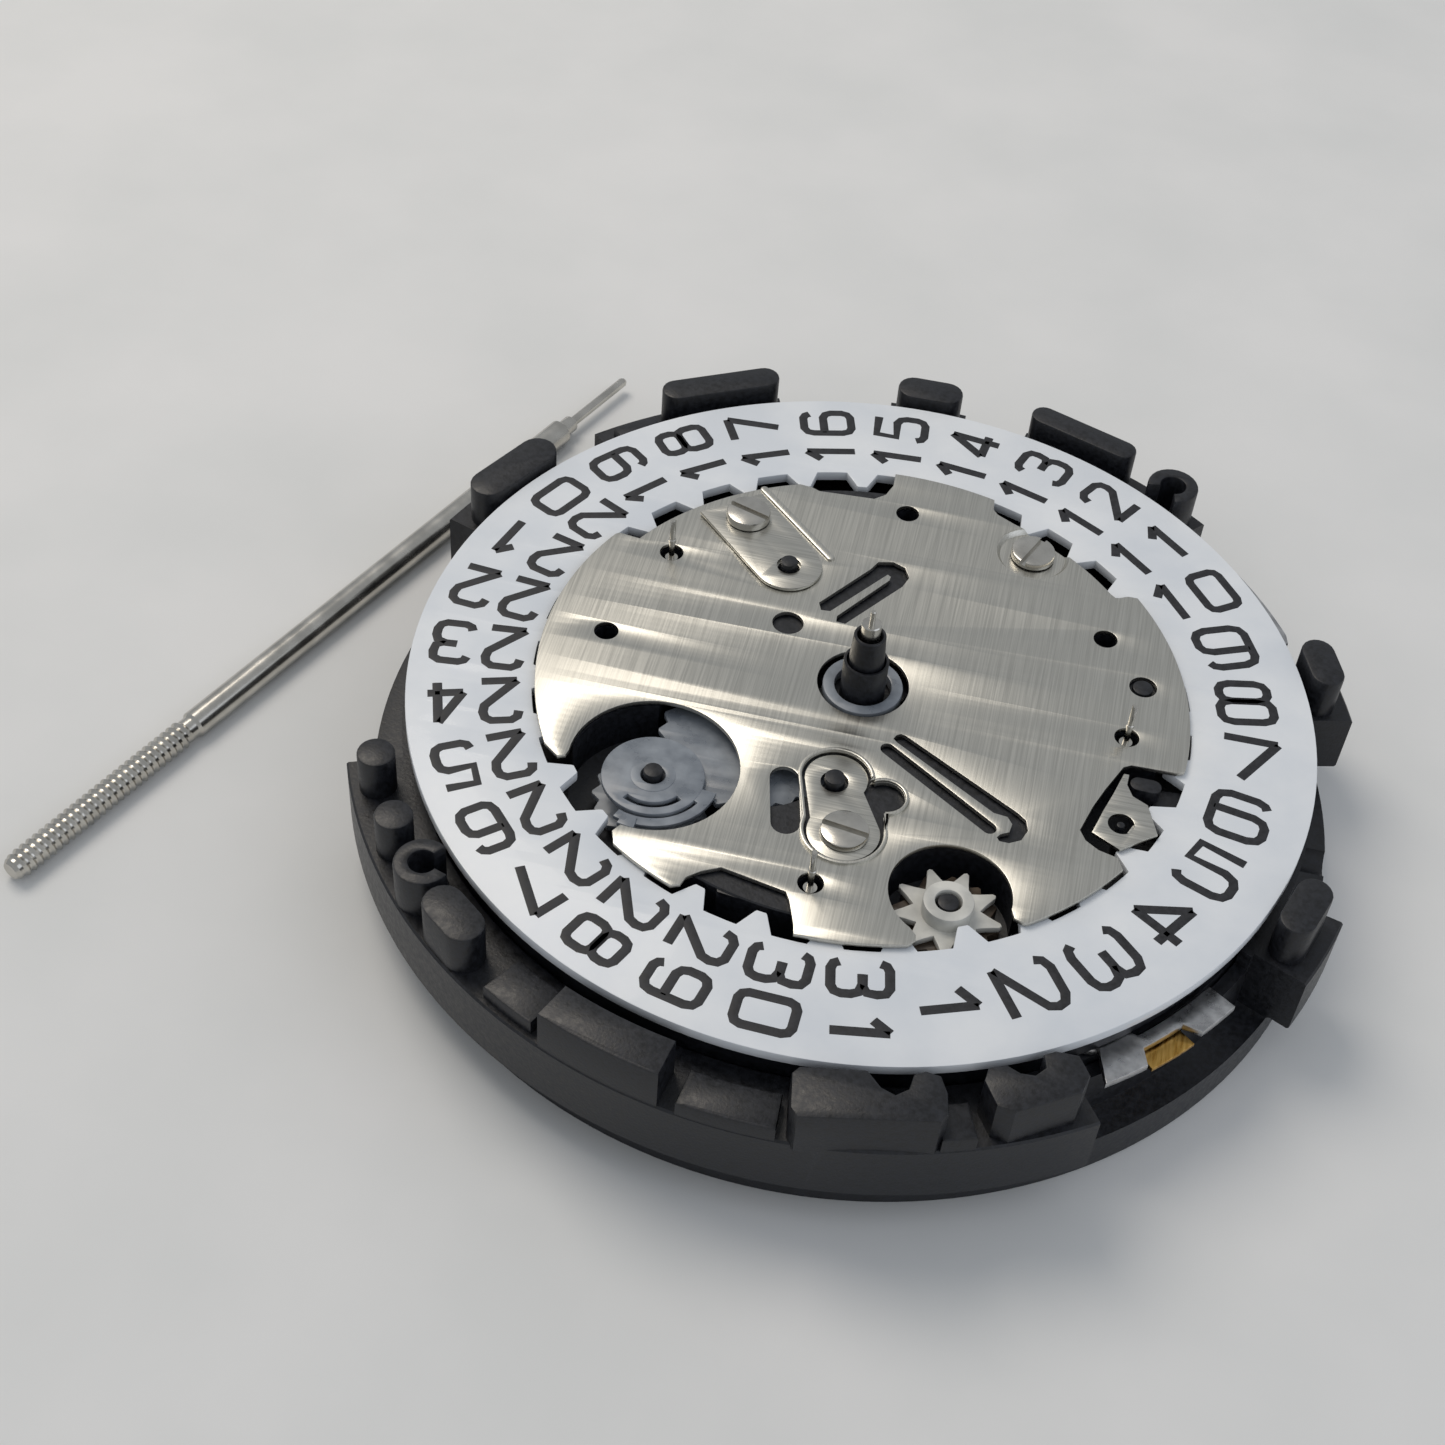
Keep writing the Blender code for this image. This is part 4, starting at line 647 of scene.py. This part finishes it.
u_slot = [(-1.95, 3.05), (-1.83, 2.75), (-1.55, 2.78), (-0.12, 4.92), (0.0, 4.84),
          (-0.02, 4.66), (-1.30, 2.62), (-1.28, 2.38), (-1.0, 2.36), (0.42, 4.5),
          (0.56, 4.95), (0.36, 5.38), (-0.04, 5.53), (-0.5, 5.4), (-0.68, 5.0)]
hook_slot = [(1.33, -1.83), (1.45, -1.73), (1.60, -1.76), (5.20, -3.83), (5.48, -4.05),
             (5.58, -4.42), (5.44, -4.82), (5.12, -5.02), (4.85, -5.02), (4.76, -4.9),
             (4.85, -4.76), (5.08, -4.62), (5.12, -4.3), (4.95, -4.06), (4.55, -4.02),
             (1.42, -2.1), (1.28, -1.98)]
holes = [disc(1.38), disc(0.48, STEP_HOLE, 28), disc(0.42, FLUSH_PIN, 28),
         disc(0.35, CLAMP_PIN, 24), disc(0.38, CLAMP_SCREW, 24), eight(0.08), u_slot,
         hook_slot, bar((1.18, -2.42), (4.50, -4.62), 0.21),
         bar((-1.50, -4.35), (-1.12, -6.0), 0.42)]
holes += [disc(ARBOR_HOLE, at, 28) for at in HANDS + SPARE_HOLES]
guard = press("guard_sheet", [outline] + holes, GUARD_LOW, GUARD_HIGH, 0.018)
print("guard plate faces", len(guard.data.polygons))

# %% [markdown]
# Three features are formed in the sheet by dies: a dished seat for the plate screw, a
# raised rim round the small clamp, and a stiffening rib by the upper clamp. The dish is
# turned and let in, the rib is welded to the sheet, and the rim is a ring set into it.

# %% Dish, rim and rib
carve(guard, press("dish_room", [disc(1.2, DISH)], 4.5, 5.5, 0.01))
dish = turn("dish", [(1.34, GUARD_HIGH - 0.01), (1.34, 4.93), (1.10, 4.78), (0.38, 4.78),
                     (0.38, 4.90), (1.04, 4.90), (1.16, GUARD_HIGH - 0.01)], DISH, 56, True)
trim = press("trim", [band(CUT_R, 12.0, 40, 75, 24)], 4.0, 6.0, 0.01)
carve(dish, trim)
weld_on(guard, dish)
rim = press("rim", [eight(0.20), eight(0.08 + 0.01)], 4.93, 5.12, 0.03)
rib = press("rib", [bar((-4.7, 7.72), (-2.0, 5.12), 0.13)], 4.95, 5.13, 0.05)
weld_on(guard, rib)
fit(guard, "holder", brushed_steel, "guard_plate", slot="brushed_plate")
fit(rim, "holder", brushed_steel, slot="brushed_plate")
print("guard plate done")

# %% [markdown]
# ## Clamps and screws
# Two small plates locate on moulded pins and are held by slotted cheese-head screws. One
# function turns a screw at its hole and mills its slot, at a different angle for each.

# %% Clamp plates
clamp = [polar(8.77, 122.5), polar(8.77, 137.2)]
clamp += sweep(1.08, 225, 405, 24, (CLAMP_PIN[0] - 0.03, CLAMP_PIN[1]))
upper = press("upper_clamp_plate", [clamp, disc(0.38, CLAMP_PIN, 24),
                                    disc(0.38, CLAMP_SCREW, 24)], 5.075, 5.195, 0.025)
fit(upper, "holder", clamp_steel, "rib_clamp", slot="brushed_plate")
lobes = sweep(0.92, -20, 195, 28, LOBE_UP) + sweep(1.05, 165, 380, 28, LOBE_DOWN)
lower = press("lower_clamp_plate", [lobes, disc(0.40, EIGHT_PIN, 24),
                                    disc(0.38, EIGHT_SCREW, 24)], 4.875, 4.995, 0.025)
fit(lower, "holder", clamp_steel, "eight_clamp", slot="brushed_plate")
print("two clamp plates")


# %% Slotted screws
def screw(name, at, seat, radius, height, tip, slot_angle, up=1):
    face = seat + up * height
    soft = min(0.06, height * 0.4)
    shape = [(0.0, face), (radius - soft, face), (radius - soft * 0.3, face - up * soft * 0.3),
             (radius, face - up * soft), (radius, seat), (0.30, seat), (0.30, tip),
             (0.0, tip)]
    made = turn(name, shape if up > 0 else shape[::-1], at, 44)
    a = math.radians(slot_angle)
    bpy.ops.object.select_all(action="DESELECT")
    bpy.ops.mesh.primitive_cube_add(size=MM, location=(at[0] * MM, at[1] * MM, face * MM),
                                    rotation=(0, 0, a),
                                    scale=(2 * radius + 0.2, 0.18, min(0.28, height * 1.4)))
    return carve(made, bpy.context.active_object)


for name, at, seat, height, angle in (("clamp_screw", CLAMP_SCREW, 5.22, 0.28, -18),
                                      ("eight_screw", EIGHT_SCREW, 5.02, 0.20, -8),
                                      ("plate_screw", DISH, 4.955, 0.24, 68)):
    made = screw(name + "_turned", at, seat, 0.70, height, 3.7, angle)
    fit(made, "holder", turned_steel, name, slot="bright_steel")
for number, at in enumerate(COVER_SCREWS, 1):
    made = screw(f"cover_screw_{number}_turned", at, 0.275, 0.62, 0.2, 3.05, 30 * number, -1)
    fit(made, "holder", turned_steel, f"cover_screw_{number}", slot="bright_steel")
print("seven screws")

# %% [markdown]
# ## The date jumper and the pusher levers
# These are springs punched from hardened strip. The jumper flexes at its foot so that
# its nose can ride over the date teeth; the levers turn on pegs and are pushed in by the
# case's buttons. They are pressed like the plates, with the finer edge of thin strip.

# %% Jumper
jumper = press("date_jumper_plate", [
    [(8.02, -1.44), (8.18, -1.44), (8.16, -1.85), (8.36, -2.25), (8.82, -2.48),
     (9.20, -3.52), (8.20, -4.38), (7.36, -3.94), (7.58, -3.05), (7.80, -2.30)],
    disc(0.38, JUMPER, 28)], 4.90, 5.02, 0.02)
gap_angle = FIRST_TOOTH - STEP * 10.5
nose = press("nose", [[polar(9.1, gap_angle - 2.0), polar(9.63, gap_angle - 0.6),
                       polar(9.63, gap_angle + 0.6), polar(9.1, gap_angle + 2.0)]],
             4.55, 4.93, 0.015)
weld_on(jumper, nose)
fit(jumper, "date_jumper", clamp_steel, "date_jumper", slot="brushed_plate")
print("jumper nose at", round(gap_angle, 2), "degrees")

# %% Pusher levers and contact
RIM = 14.35
for name, side in (("upper_pusher_lever", 1), ("lower_pusher_lever", -1)):
    low = LEVER_LOW[side]
    pivot = polar(PEG_R, side * PEG_ANGLE)
    if side > 0:
        edge = sweep(RIM, 46.0, 29.0, 20) + [polar(14.25, 27.6), polar(13.45, 27.4)]
        edge += [polar(13.55, 28.6), polar(13.9, 29.6)] + sweep(RIM - 0.5, 31.0, 44.0, 14)
    else:
        edge = sweep(RIM, -52.0, -46.5, 8) + sweep(RIM - 0.5, -45.5, -39.5, 8)
        edge += sweep(RIM, -38.5, -33.0, 8) + sweep(RIM - 0.9, -33.0, -45.0, 14)
    hub = [polar(0.62, side * (310 - k * 16), pivot) for k in range(17)]
    lever = press(name + "_strip", [edge + hub, disc(0.32, pivot, 24)], low, low + 0.25, 0.03)
    fit(lever, name, lever_steel, name, slot="bright_steel")
contact = press("contact_strip", [band(13.5, RIM, -45.6, -39.4)], 3.05, 3.20, 0.02)
fit(contact, "holder", brass, "contact_spring", slot="brass")
print("levers and contact done")

# %% [markdown]
# ## Gears
# Every wheel has straight-sided teeth with a small flat tip. A wheel is one or two
# toothed discs on a turned arbor, so a single helper makes a disc of teeth, and the
# arbors are welded in. A tooth or a gap faces the next wheel, so that each pair meshes.

# %% Toothed discs
LEVELS = [1.08 + 0.28 * k for k in range(4)]
THICK = 0.14
ARBOR_LOW = 1.00


def teeth(count, pitch_radius, centre, facing=0.0, gap=False, depth=0.12):
    pitch = 360 / count
    phase = facing + (pitch / 2 if gap else 0)
    points = []
    for k in range(count):
        a = phase + k * pitch
        points += [polar(pitch_radius - depth, a - pitch / 2, centre),
                   polar(pitch_radius + depth * 0.75, a - pitch * 0.06, centre),
                   polar(pitch_radius + depth * 0.75, a + pitch * 0.06, centre)]
    return points


def level(k, plan, hole=None):
    return press("layer", [plan] + ([hole] if hole else []), LEVELS[k], LEVELS[k] + THICK, 0.01)


def on_arbor(name, at, shape, layers, body, material, cad, slot):
    made = weld_on(turn(name, shape, at, 32), *layers)
    return fit(made, body, material, *cad, slot=slot)


print("levels", [round(v, 2) for v in LEVELS])

# %% [markdown]
# ## The date wheels
# The driving wheel turns once a day. It is a clear nylon disc, level with the date ring,
# with a sprung arm whose finger catches one tooth of the ring at midnight. Well under the
# disc is its gear, fed by an intermediate wheel from the hour wheel.

# %% Date driving wheel
toward = bearing(DATE_WHEEL, DATE_INTER)
bore = disc(0.36, DATE_WHEEL, 28)
driver = press("date_driving_wheel_moulding", [teeth(16, DRIVE_PITCH, DATE_WHEEL, toward, True),
                                               bore], 3.65, 3.87, 0.015)
slot_arc = sweep(1.22, -120, -35, 16, DATE_WHEEL) + sweep(1.04, -35, -120, 16, DATE_WHEEL)
hub = press("hub", [disc(0.52, DATE_WHEEL, 36), bore], 3.84, 4.62, 0.01)
face = press("disc", [disc(1.50, DATE_WHEEL, 64), bore, slot_arc], 4.60, 4.78, 0.04)
collar = press("collar", [disc(0.66, DATE_WHEEL, 36), bore], 4.70, 4.80, 0.03)
arm = sweep(1.92, -5, -112, 24, DATE_WHEEL) + sweep(1.62, -112, -24, 20, DATE_WHEEL)
arm += [polar(1.30, -24, DATE_WHEEL), polar(1.30, -5, DATE_WHEEL)]
finger = sweep(2.10, -91, -105, 4, DATE_WHEEL) + sweep(1.70, -105, -91, 4, DATE_WHEEL)
weld_on(driver, hub, face, collar, press("arm", [arm], 4.62, 4.76, 0.02),
        press("finger", [finger], 4.64, 4.80, 0.02))
fit(driver, "date_driving_wheel", natural_nylon, "date_driving_wheel", slot="natural_nylon")
print("driving wheel faces", len(driver.data.polygons))

# %% Intermediate date wheel
bore = disc(0.43, DATE_INTER, 24)
inter = press("date_intermediate_moulding", [teeth(24, 2 * HOUR_PITCH, DATE_INTER,
              bearing(DATE_INTER, CENTRE), True), bore], 4.36, 4.55, 0.015)
weld_on(inter, press("low", [teeth(16, DRIVE_PITCH, DATE_INTER, bearing(DATE_INTER, DATE_WHEEL)),
                             bore], 3.65, 3.82, 0.01),
        press("hub", [disc(0.8, DATE_INTER, 32), disc(0.48, DATE_INTER, 24)], 3.75, 4.45, 0.01))
fit(inter, "date_intermediate_wheel", natural_nylon, "date_intermediate_wheel",
    slot="white_acetal")
print("intermediate wheel done")

# %% [markdown]
# The corrector star sets the date from the stem. Its nine teeth are pointed, like a
# star's, and below it sits a smoke-coloured gear that shows through the cut-out.

# %% Corrector
first_tip = bearing(CENTRE, STAR) + 20.0
points = []
for k in range(9):
    a = first_tip + 40 * k
    points += [polar(0.95, a - 20, STAR), polar(1.20, a - 9.5, STAR), polar(1.52, a - 3.0, STAR),
               polar(1.57, a, STAR), polar(1.52, a + 3.0, STAR), polar(1.20, a + 9.5, STAR)]
bore = disc(0.38, STAR, 28)
star = press("corrector_star_moulding", [points, bore], 4.23, 4.45, 0.025)
weld_on(star, press("hub", [disc(0.72, STAR, 36), bore], 4.40, 4.95, 0.05))
fit(star, "corrector", white_acetal, "corrector_star", slot="white_acetal")
gear = press("corrector_gear_moulding", [teeth(12, 1.42, STAR, 0, depth=0.16), bore],
             3.60, 4.17, 0.03)
fit(gear, "corrector", smoked_nylon, "corrector_gear", slot="natural_nylon")
print("corrector done")

# %% [markdown]
# ## The hands' pipes and arbors
# Three pieces stand one inside another at the centre: the hour wheel's pipe, the cannon
# pinion, and the chronograph seconds arbor with its fine pin. Three smaller arbors carry
# the small hands. Turned profiles with many steps keep these thin tubes round.

# %% Centre stack
to_minute, to_date = bearing(CENTRE, MINUTE_WHEEL), bearing(CENTRE, DATE_INTER)
pipe = turn("hour_pipe", [(0.66, 6.05), (0.68, 6.02), (0.68, 4.0), (0.58, 4.0), (0.58, 6.02),
                          (0.60, 6.05)], CENTRE, 56, True)
room = disc(0.62, CENTRE, 40)
weld_on(pipe, press("wheel", [teeth(24, 1.90, CENTRE, to_minute), room], 3.92, 4.12, 0.01),
        press("upper", [teeth(12, HOUR_PITCH, CENTRE, to_date), room], 4.05, 4.58, 0.01))
fit(pipe, "hour_wheel", black_pbt, "hour_wheel", slot="black_moulding")
cannon = turn("cannon_tube", [(0.455, 7.10), (0.48, 7.07), (0.53, 6.25), (0.53, 1.75),
                              (0.38, 1.75), (0.38, 7.07), (0.405, 7.10)], CENTRE, 56, True)
weld_on(cannon, press("leaves", [teeth(8, 0.60, CENTRE, to_minute), disc(0.43, CENTRE, 32)],
                      3.52, 3.82, 0.01))
fit(cannon, "cannon_pinion", black_pbt, "cannon_pinion", slot="black_moulding")
washer = press("dial_washer_disc", [disc(1.21, CENTRE, 64), disc(0.85, CENTRE, 56)],
               4.60, 4.99, 0.05)
fit(washer, "holder", natural_nylon, "dial_washer", slot="natural_nylon")
print("centre stack done")

# %% Hand arbors
MOTOR_ANGLES = {"seconds": -145, "chrono": 150, "counter_10": 205, "counter_3": -100}
tube = [(0.0, 8.05), (0.05, 8.05), (0.08, 8.02), (0.08, 7.56), (0.27, 7.56), (0.30, 7.53),
        (0.30, ARBOR_LOW), (0.0, ARBOR_LOW)]
on_arbor("chrono_seconds_turning", CENTRE, tube,
         [level(0, teeth(16, 1.44, CENTRE, MOTOR_ANGLES["chrono"]))], "chrono_seconds_arbor",
         turned_steel, ["chrono_seconds_arbor"], "bright_steel")
THIRD_DRIVE = 0.085
IDLER = polar(THIRD_DRIVE * 42, -95)
DRIVE = polar(THIRD_DRIVE * 20, -30, IDLER)


def meet(p, a, q, b, side):
    """The point at distance a from p and b from q."""
    dx, dy = q[0] - p[0], q[1] - p[1]
    span = math.hypot(dx, dy)
    along = (a * a - b * b + span * span) / (2 * span)
    across = side * math.sqrt(a * a - along * along)
    return (p[0] + (dx * along - dy * across) / span, p[1] + (dy * along + dx * across) / span)


THIRD = meet(HAND_6, THIRD_DRIVE * 30, DRIVE, THIRD_DRIVE * 30, -1)
for key, at, body in (("counter_10", HAND_10, "counter_10_arbor"),
                      ("counter_3", HAND_3, "counter_3_arbor"),
                      ("seconds", HAND_6, "small_seconds_arbor")):
    layers = [level(0, teeth(16, 1.44, at, MOTOR_ANGLES[key]))]
    if key == "seconds":
        layers.append(press("pinion", [teeth(6, 0.51, at, bearing(at, THIRD))], 1.18, 1.50, 0.01))
    shape = [(0.0, 6.40), (0.07, 6.40), (0.09, 6.37), (0.09, 5.62), (0.12, 5.60),
             (0.12, 5.50), (0.09, 5.48), (0.09, 4.85), (0.20, 4.85), (0.20, ARBOR_LOW),
             (0.0, ARBOR_LOW)]
    on_arbor(body + "_turning", at, shape, layers, body, turned_steel, [body], "bright_steel")
print("four hand arbors")

# %% [markdown]
# ## The back of the movement
# Under the dial side lie the train bridge, the circuit board and a steel cover, with the
# battery let in at 12 o'clock and a strap across it. The cover's edge and stampings are
# pressed like the other plates. The battery is a turned cup, with the crimped shoulder
# and the step to its smaller pole that every button cell has.

# %% Circuit cover
back_edge = sweep(12.5, 9, 351, 120) + [(10.2, -1.9), (10.2, 1.9)]
back_holes = [disc(4.05, BATTERY_AT, 72)]
back_holes += [disc(SCREW_HOLE, at, 28) for at in COVER_SCREWS]
back_holes += [disc(0.34, at, 24) for at in (HAND_6, HAND_10)]
stampings = [bar((-4.2, 1.2), (-4.9, 4.6), 0.9), bar((-7.2, -1.6), (-7.2, 1.4), 0.9),
             bar((-3.4, -6.8), (-5.6, -6.2), 0.9), bar((7.0, -5.0), (8.2, -6.4), 0.9)]
cover = press("circuit_cover_sheet", [back_edge] + back_holes + stampings, 0.30, 0.50, 0.03)
fit(cover, "holder", brushed_steel, "circuit_cover", slot="brushed_plate")
print("cover faces", len(cover.data.polygons))

# %% Battery and strap
cell = turn("battery_cup", [
    (0.0, 2.37), (3.62, 2.37), (3.85, 2.32), (3.95, 2.15), (3.95, 0.75), (3.90, 0.62),
    (3.62, 0.50), (3.46, 0.48), (3.44, 0.31), (3.38, 0.27), (0.0, 0.27)][::-1],
    BATTERY_AT, 96)
fit(cell, "holder", battery_steel, "battery", slot="bright_steel")
strap = press("battery_strap_sheet", [bar((-2.9, 7.8), (5.7, 7.6), 0.9, 20)], 0.10, 0.25, 0.04)
fit(strap, "holder", lever_steel, "battery_strap", slot="brushed_plate")
print("battery and strap done")

# %% [markdown]
# ## The stem
# The winding stem is one turned pin. Its crown end is threaded, and the case end has a
# groove that the setting lever drops into. The thread is real: a ridge that climbs round
# the pin by 0.25 mm a turn: a low triangle with its foot inside the pin, swept along a
# helix and fading out at both ends.

# %% Turn the stem
STEM_END, HEADING, LONG, STEM_R = (-23.3, -10.2), 67.6, 30.0, 0.45
THREAD, PITCH, ROUND = 7.4, 0.25, 24
pin = turn("stem_turning", [
    (0.0, LONG), (0.10, LONG), (0.12, LONG - 0.02), (0.17, LONG - 0.12), (0.17, LONG - 3.2),
    (0.28, LONG - 3.2), (0.30, LONG - 3.24), (0.30, LONG - 3.8), (0.42, LONG - 3.8),
    (STEM_R, LONG - 3.84), (STEM_R, LONG - 6.56), (0.42, LONG - 6.6), (0.28, LONG - 6.6),
    (0.28, LONG - 7.1), (0.42, LONG - 7.1), (STEM_R, LONG - 7.14), (STEM_R, 7.55),
    (0.37, 7.45), (0.37, 0.12), (0.28, 0.0), (0.0, 0.0)], CENTRE, 40)
print("stem is", LONG, "mm long")


# %% Cut the thread
def thread_point(turns, part):
    """Point on the thread: part runs from 0 in the root, over the crest at 1, to 2."""
    z = 0.18 + turns * PITCH + (part - 1) * PITCH * 0.46
    radius = 0.355 + 0.093 * (1 - abs(part - 1)) * min(1, turns * 2, (COILS - turns) * 2)
    a = turns * math.tau
    return (radius * math.cos(a) * MM, radius * math.sin(a) * MM, z * MM)


COILS = int((THREAD - 0.4) / PITCH)
ridge = bpy.data.meshes.new("stem_thread")
steps = COILS * ROUND
points, faces = [], []
for k in range(steps + 1):
    points += [thread_point(k / ROUND, part) for part in (0, 1, 2)]
    points.append((0.30 * math.cos(k / ROUND * math.tau) * MM,
                   0.30 * math.sin(k / ROUND * math.tau) * MM,
                   (0.18 + k / ROUND * PITCH) * MM))
for k in range(steps):
    for part in range(4):
        here, over = 4 * k + part, 4 * k + (part + 1) % 4
        faces.append((here, over, over + 4, here + 4))
faces += [(3, 2, 1, 0), tuple(4 * steps + part for part in range(4))]
ridge.from_pydata(points, [], faces)
thread = bpy.data.objects.new("stem_thread", ridge)
scene.collection.objects.link(thread)
tidy(thread, 0.0)
smooth(thread, 50)
print(COILS, "turns of thread")

# %% [markdown]
# Both pieces were made standing on the origin. They are laid down along the stem's
# direction, with the axis one radius above the bench, by turning the meshes themselves.

# %% Lay the stem down
heading = math.radians(HEADING)
lie = Matrix(((0, -math.sin(heading), math.cos(heading), STEM_END[0] * MM),
              (0, math.cos(heading), math.sin(heading), STEM_END[1] * MM),
              (-1, 0, 0, STEM_R * MM), (0, 0, 0, 1)))
for piece in (pin, thread):
    piece.data.transform(lie)
    fit(piece, "stem", turned_steel, "stem", slot="bright_steel")
print("stem laid down")

# %% [markdown]
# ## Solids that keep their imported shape
# The wheels, motors and small levers inside are seen only through gaps. Their packed
# shape is already right, so each keeps it and gets its own finish.

# %% Finish the inner solids
KEPT = [(brass, ["third_wheel", "minute_drive_wheel", "idler_wheel", "centre_wheel"]),
        (white_acetal, ["minute_wheel"] + [m + "_intermediate" for m in MOTOR_ANGLES]),
        (turned_steel, [m + "_rotor" for m in MOTOR_ANGLES]),
        (soft_iron, [m + "_stator" for m in MOTOR_ANGLES]),
        (copper_wire_painted_shade, [m + "_coil" for m in MOTOR_ANGLES]),
        (solder_mask, ["circuit_board"]),
        (clamp_steel, ["train_bridge", "setting_lever", "yoke"])]
for material, names in KEPT:
    for name in names:
        obj = frame["nodes"][name]
        obj.data.materials.clear()
        obj.data.materials.append(material)
        smooth(obj, 30)
print(sum(len(names) for material, names in KEPT), "inner solids finished")

# %% Check that nothing is left plain
replaced = {n for o in scene.objects for n in (o.get("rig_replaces") or [])}
finished = {name for material, names in KEPT for name in names}
print("left plain:", sorted(set(frame["nodes"]) - finished - replaced))

# %% [markdown]
# ## Bench, light and camera
# The object stands on a plain pale bench. A large lamp high on the left gives the long
# soft highlight along the brushing, a broad weak one fills the right, and the world adds
# an even grey. The levels are low enough that white lacquer stays below white.

# %% Bench
bench = finish("matt_bench_top", "#dfe0df", "#e6e6e5", (0.8, 0.9), blotch=9.0, grit=0.5)
bpy.ops.object.select_all(action="DESELECT")
bpy.ops.mesh.primitive_grid_add(x_subdivisions=4, y_subdivisions=4, size=1.2,
                                location=(0, 0, -0.02 * MM))
floor = bpy.context.active_object
floor.name = "bench_top"
floor.data.materials.append(bench)
print("bench laid")

# %% Lamps and world
world = bpy.data.worlds.new("soft_room")
scene.world = world
world.use_nodes = True
world.node_tree.nodes["Background"].inputs["Color"].default_value = colour("#e9edf2")
world.node_tree.nodes["Background"].inputs["Strength"].default_value = 0.50


def lamp(name, place, size, watts, tone):
    bpy.ops.object.select_all(action="DESELECT")
    bpy.ops.object.light_add(type="AREA", location=[v * MM for v in place])
    made = bpy.context.active_object
    made.name = name
    made.data.shape = "DISK"
    made.data.size = size * MM
    made.data.energy = watts
    made.data.color = colour(tone)[:3]
    made.rotation_euler = (-Vector(place)).to_track_quat("-Z", "Y").to_euler()
    return made


lamp("key_lamp", (-90, 60, 170), 110, 0.15, "#fff6ea")
lamp("fill_lamp", (140, -40, 120), 160, 0.05, "#eaf1ff")
print("two lamps and a soft room")

# %% Camera
eye = Vector((3.58, -46.68, 52.47)) * MM
forward = Vector((-0.11181, 0.6754, -0.72892)).normalized()
right = Vector((0.97278, 0.22423, 0.05855)).normalized()
down = forward.cross(right).normalized()
camera_data = bpy.data.cameras.new("camera")
camera = bpy.data.objects.new("camera", camera_data)
scene.collection.objects.link(camera)
camera_data.lens = 55.35
camera_data.sensor_width = 36
camera_data.clip_start = 0.001
camera_data.clip_end = 10
camera.matrix_world = Matrix([(right[k], -down[k], -forward[k], eye[k]) for k in range(3)]
                             + [(0, 0, 0, 1)])
scene.camera = camera
scene.view_settings.view_transform = "Standard"
print("camera at", [round(v / MM, 2) for v in eye], "mm")
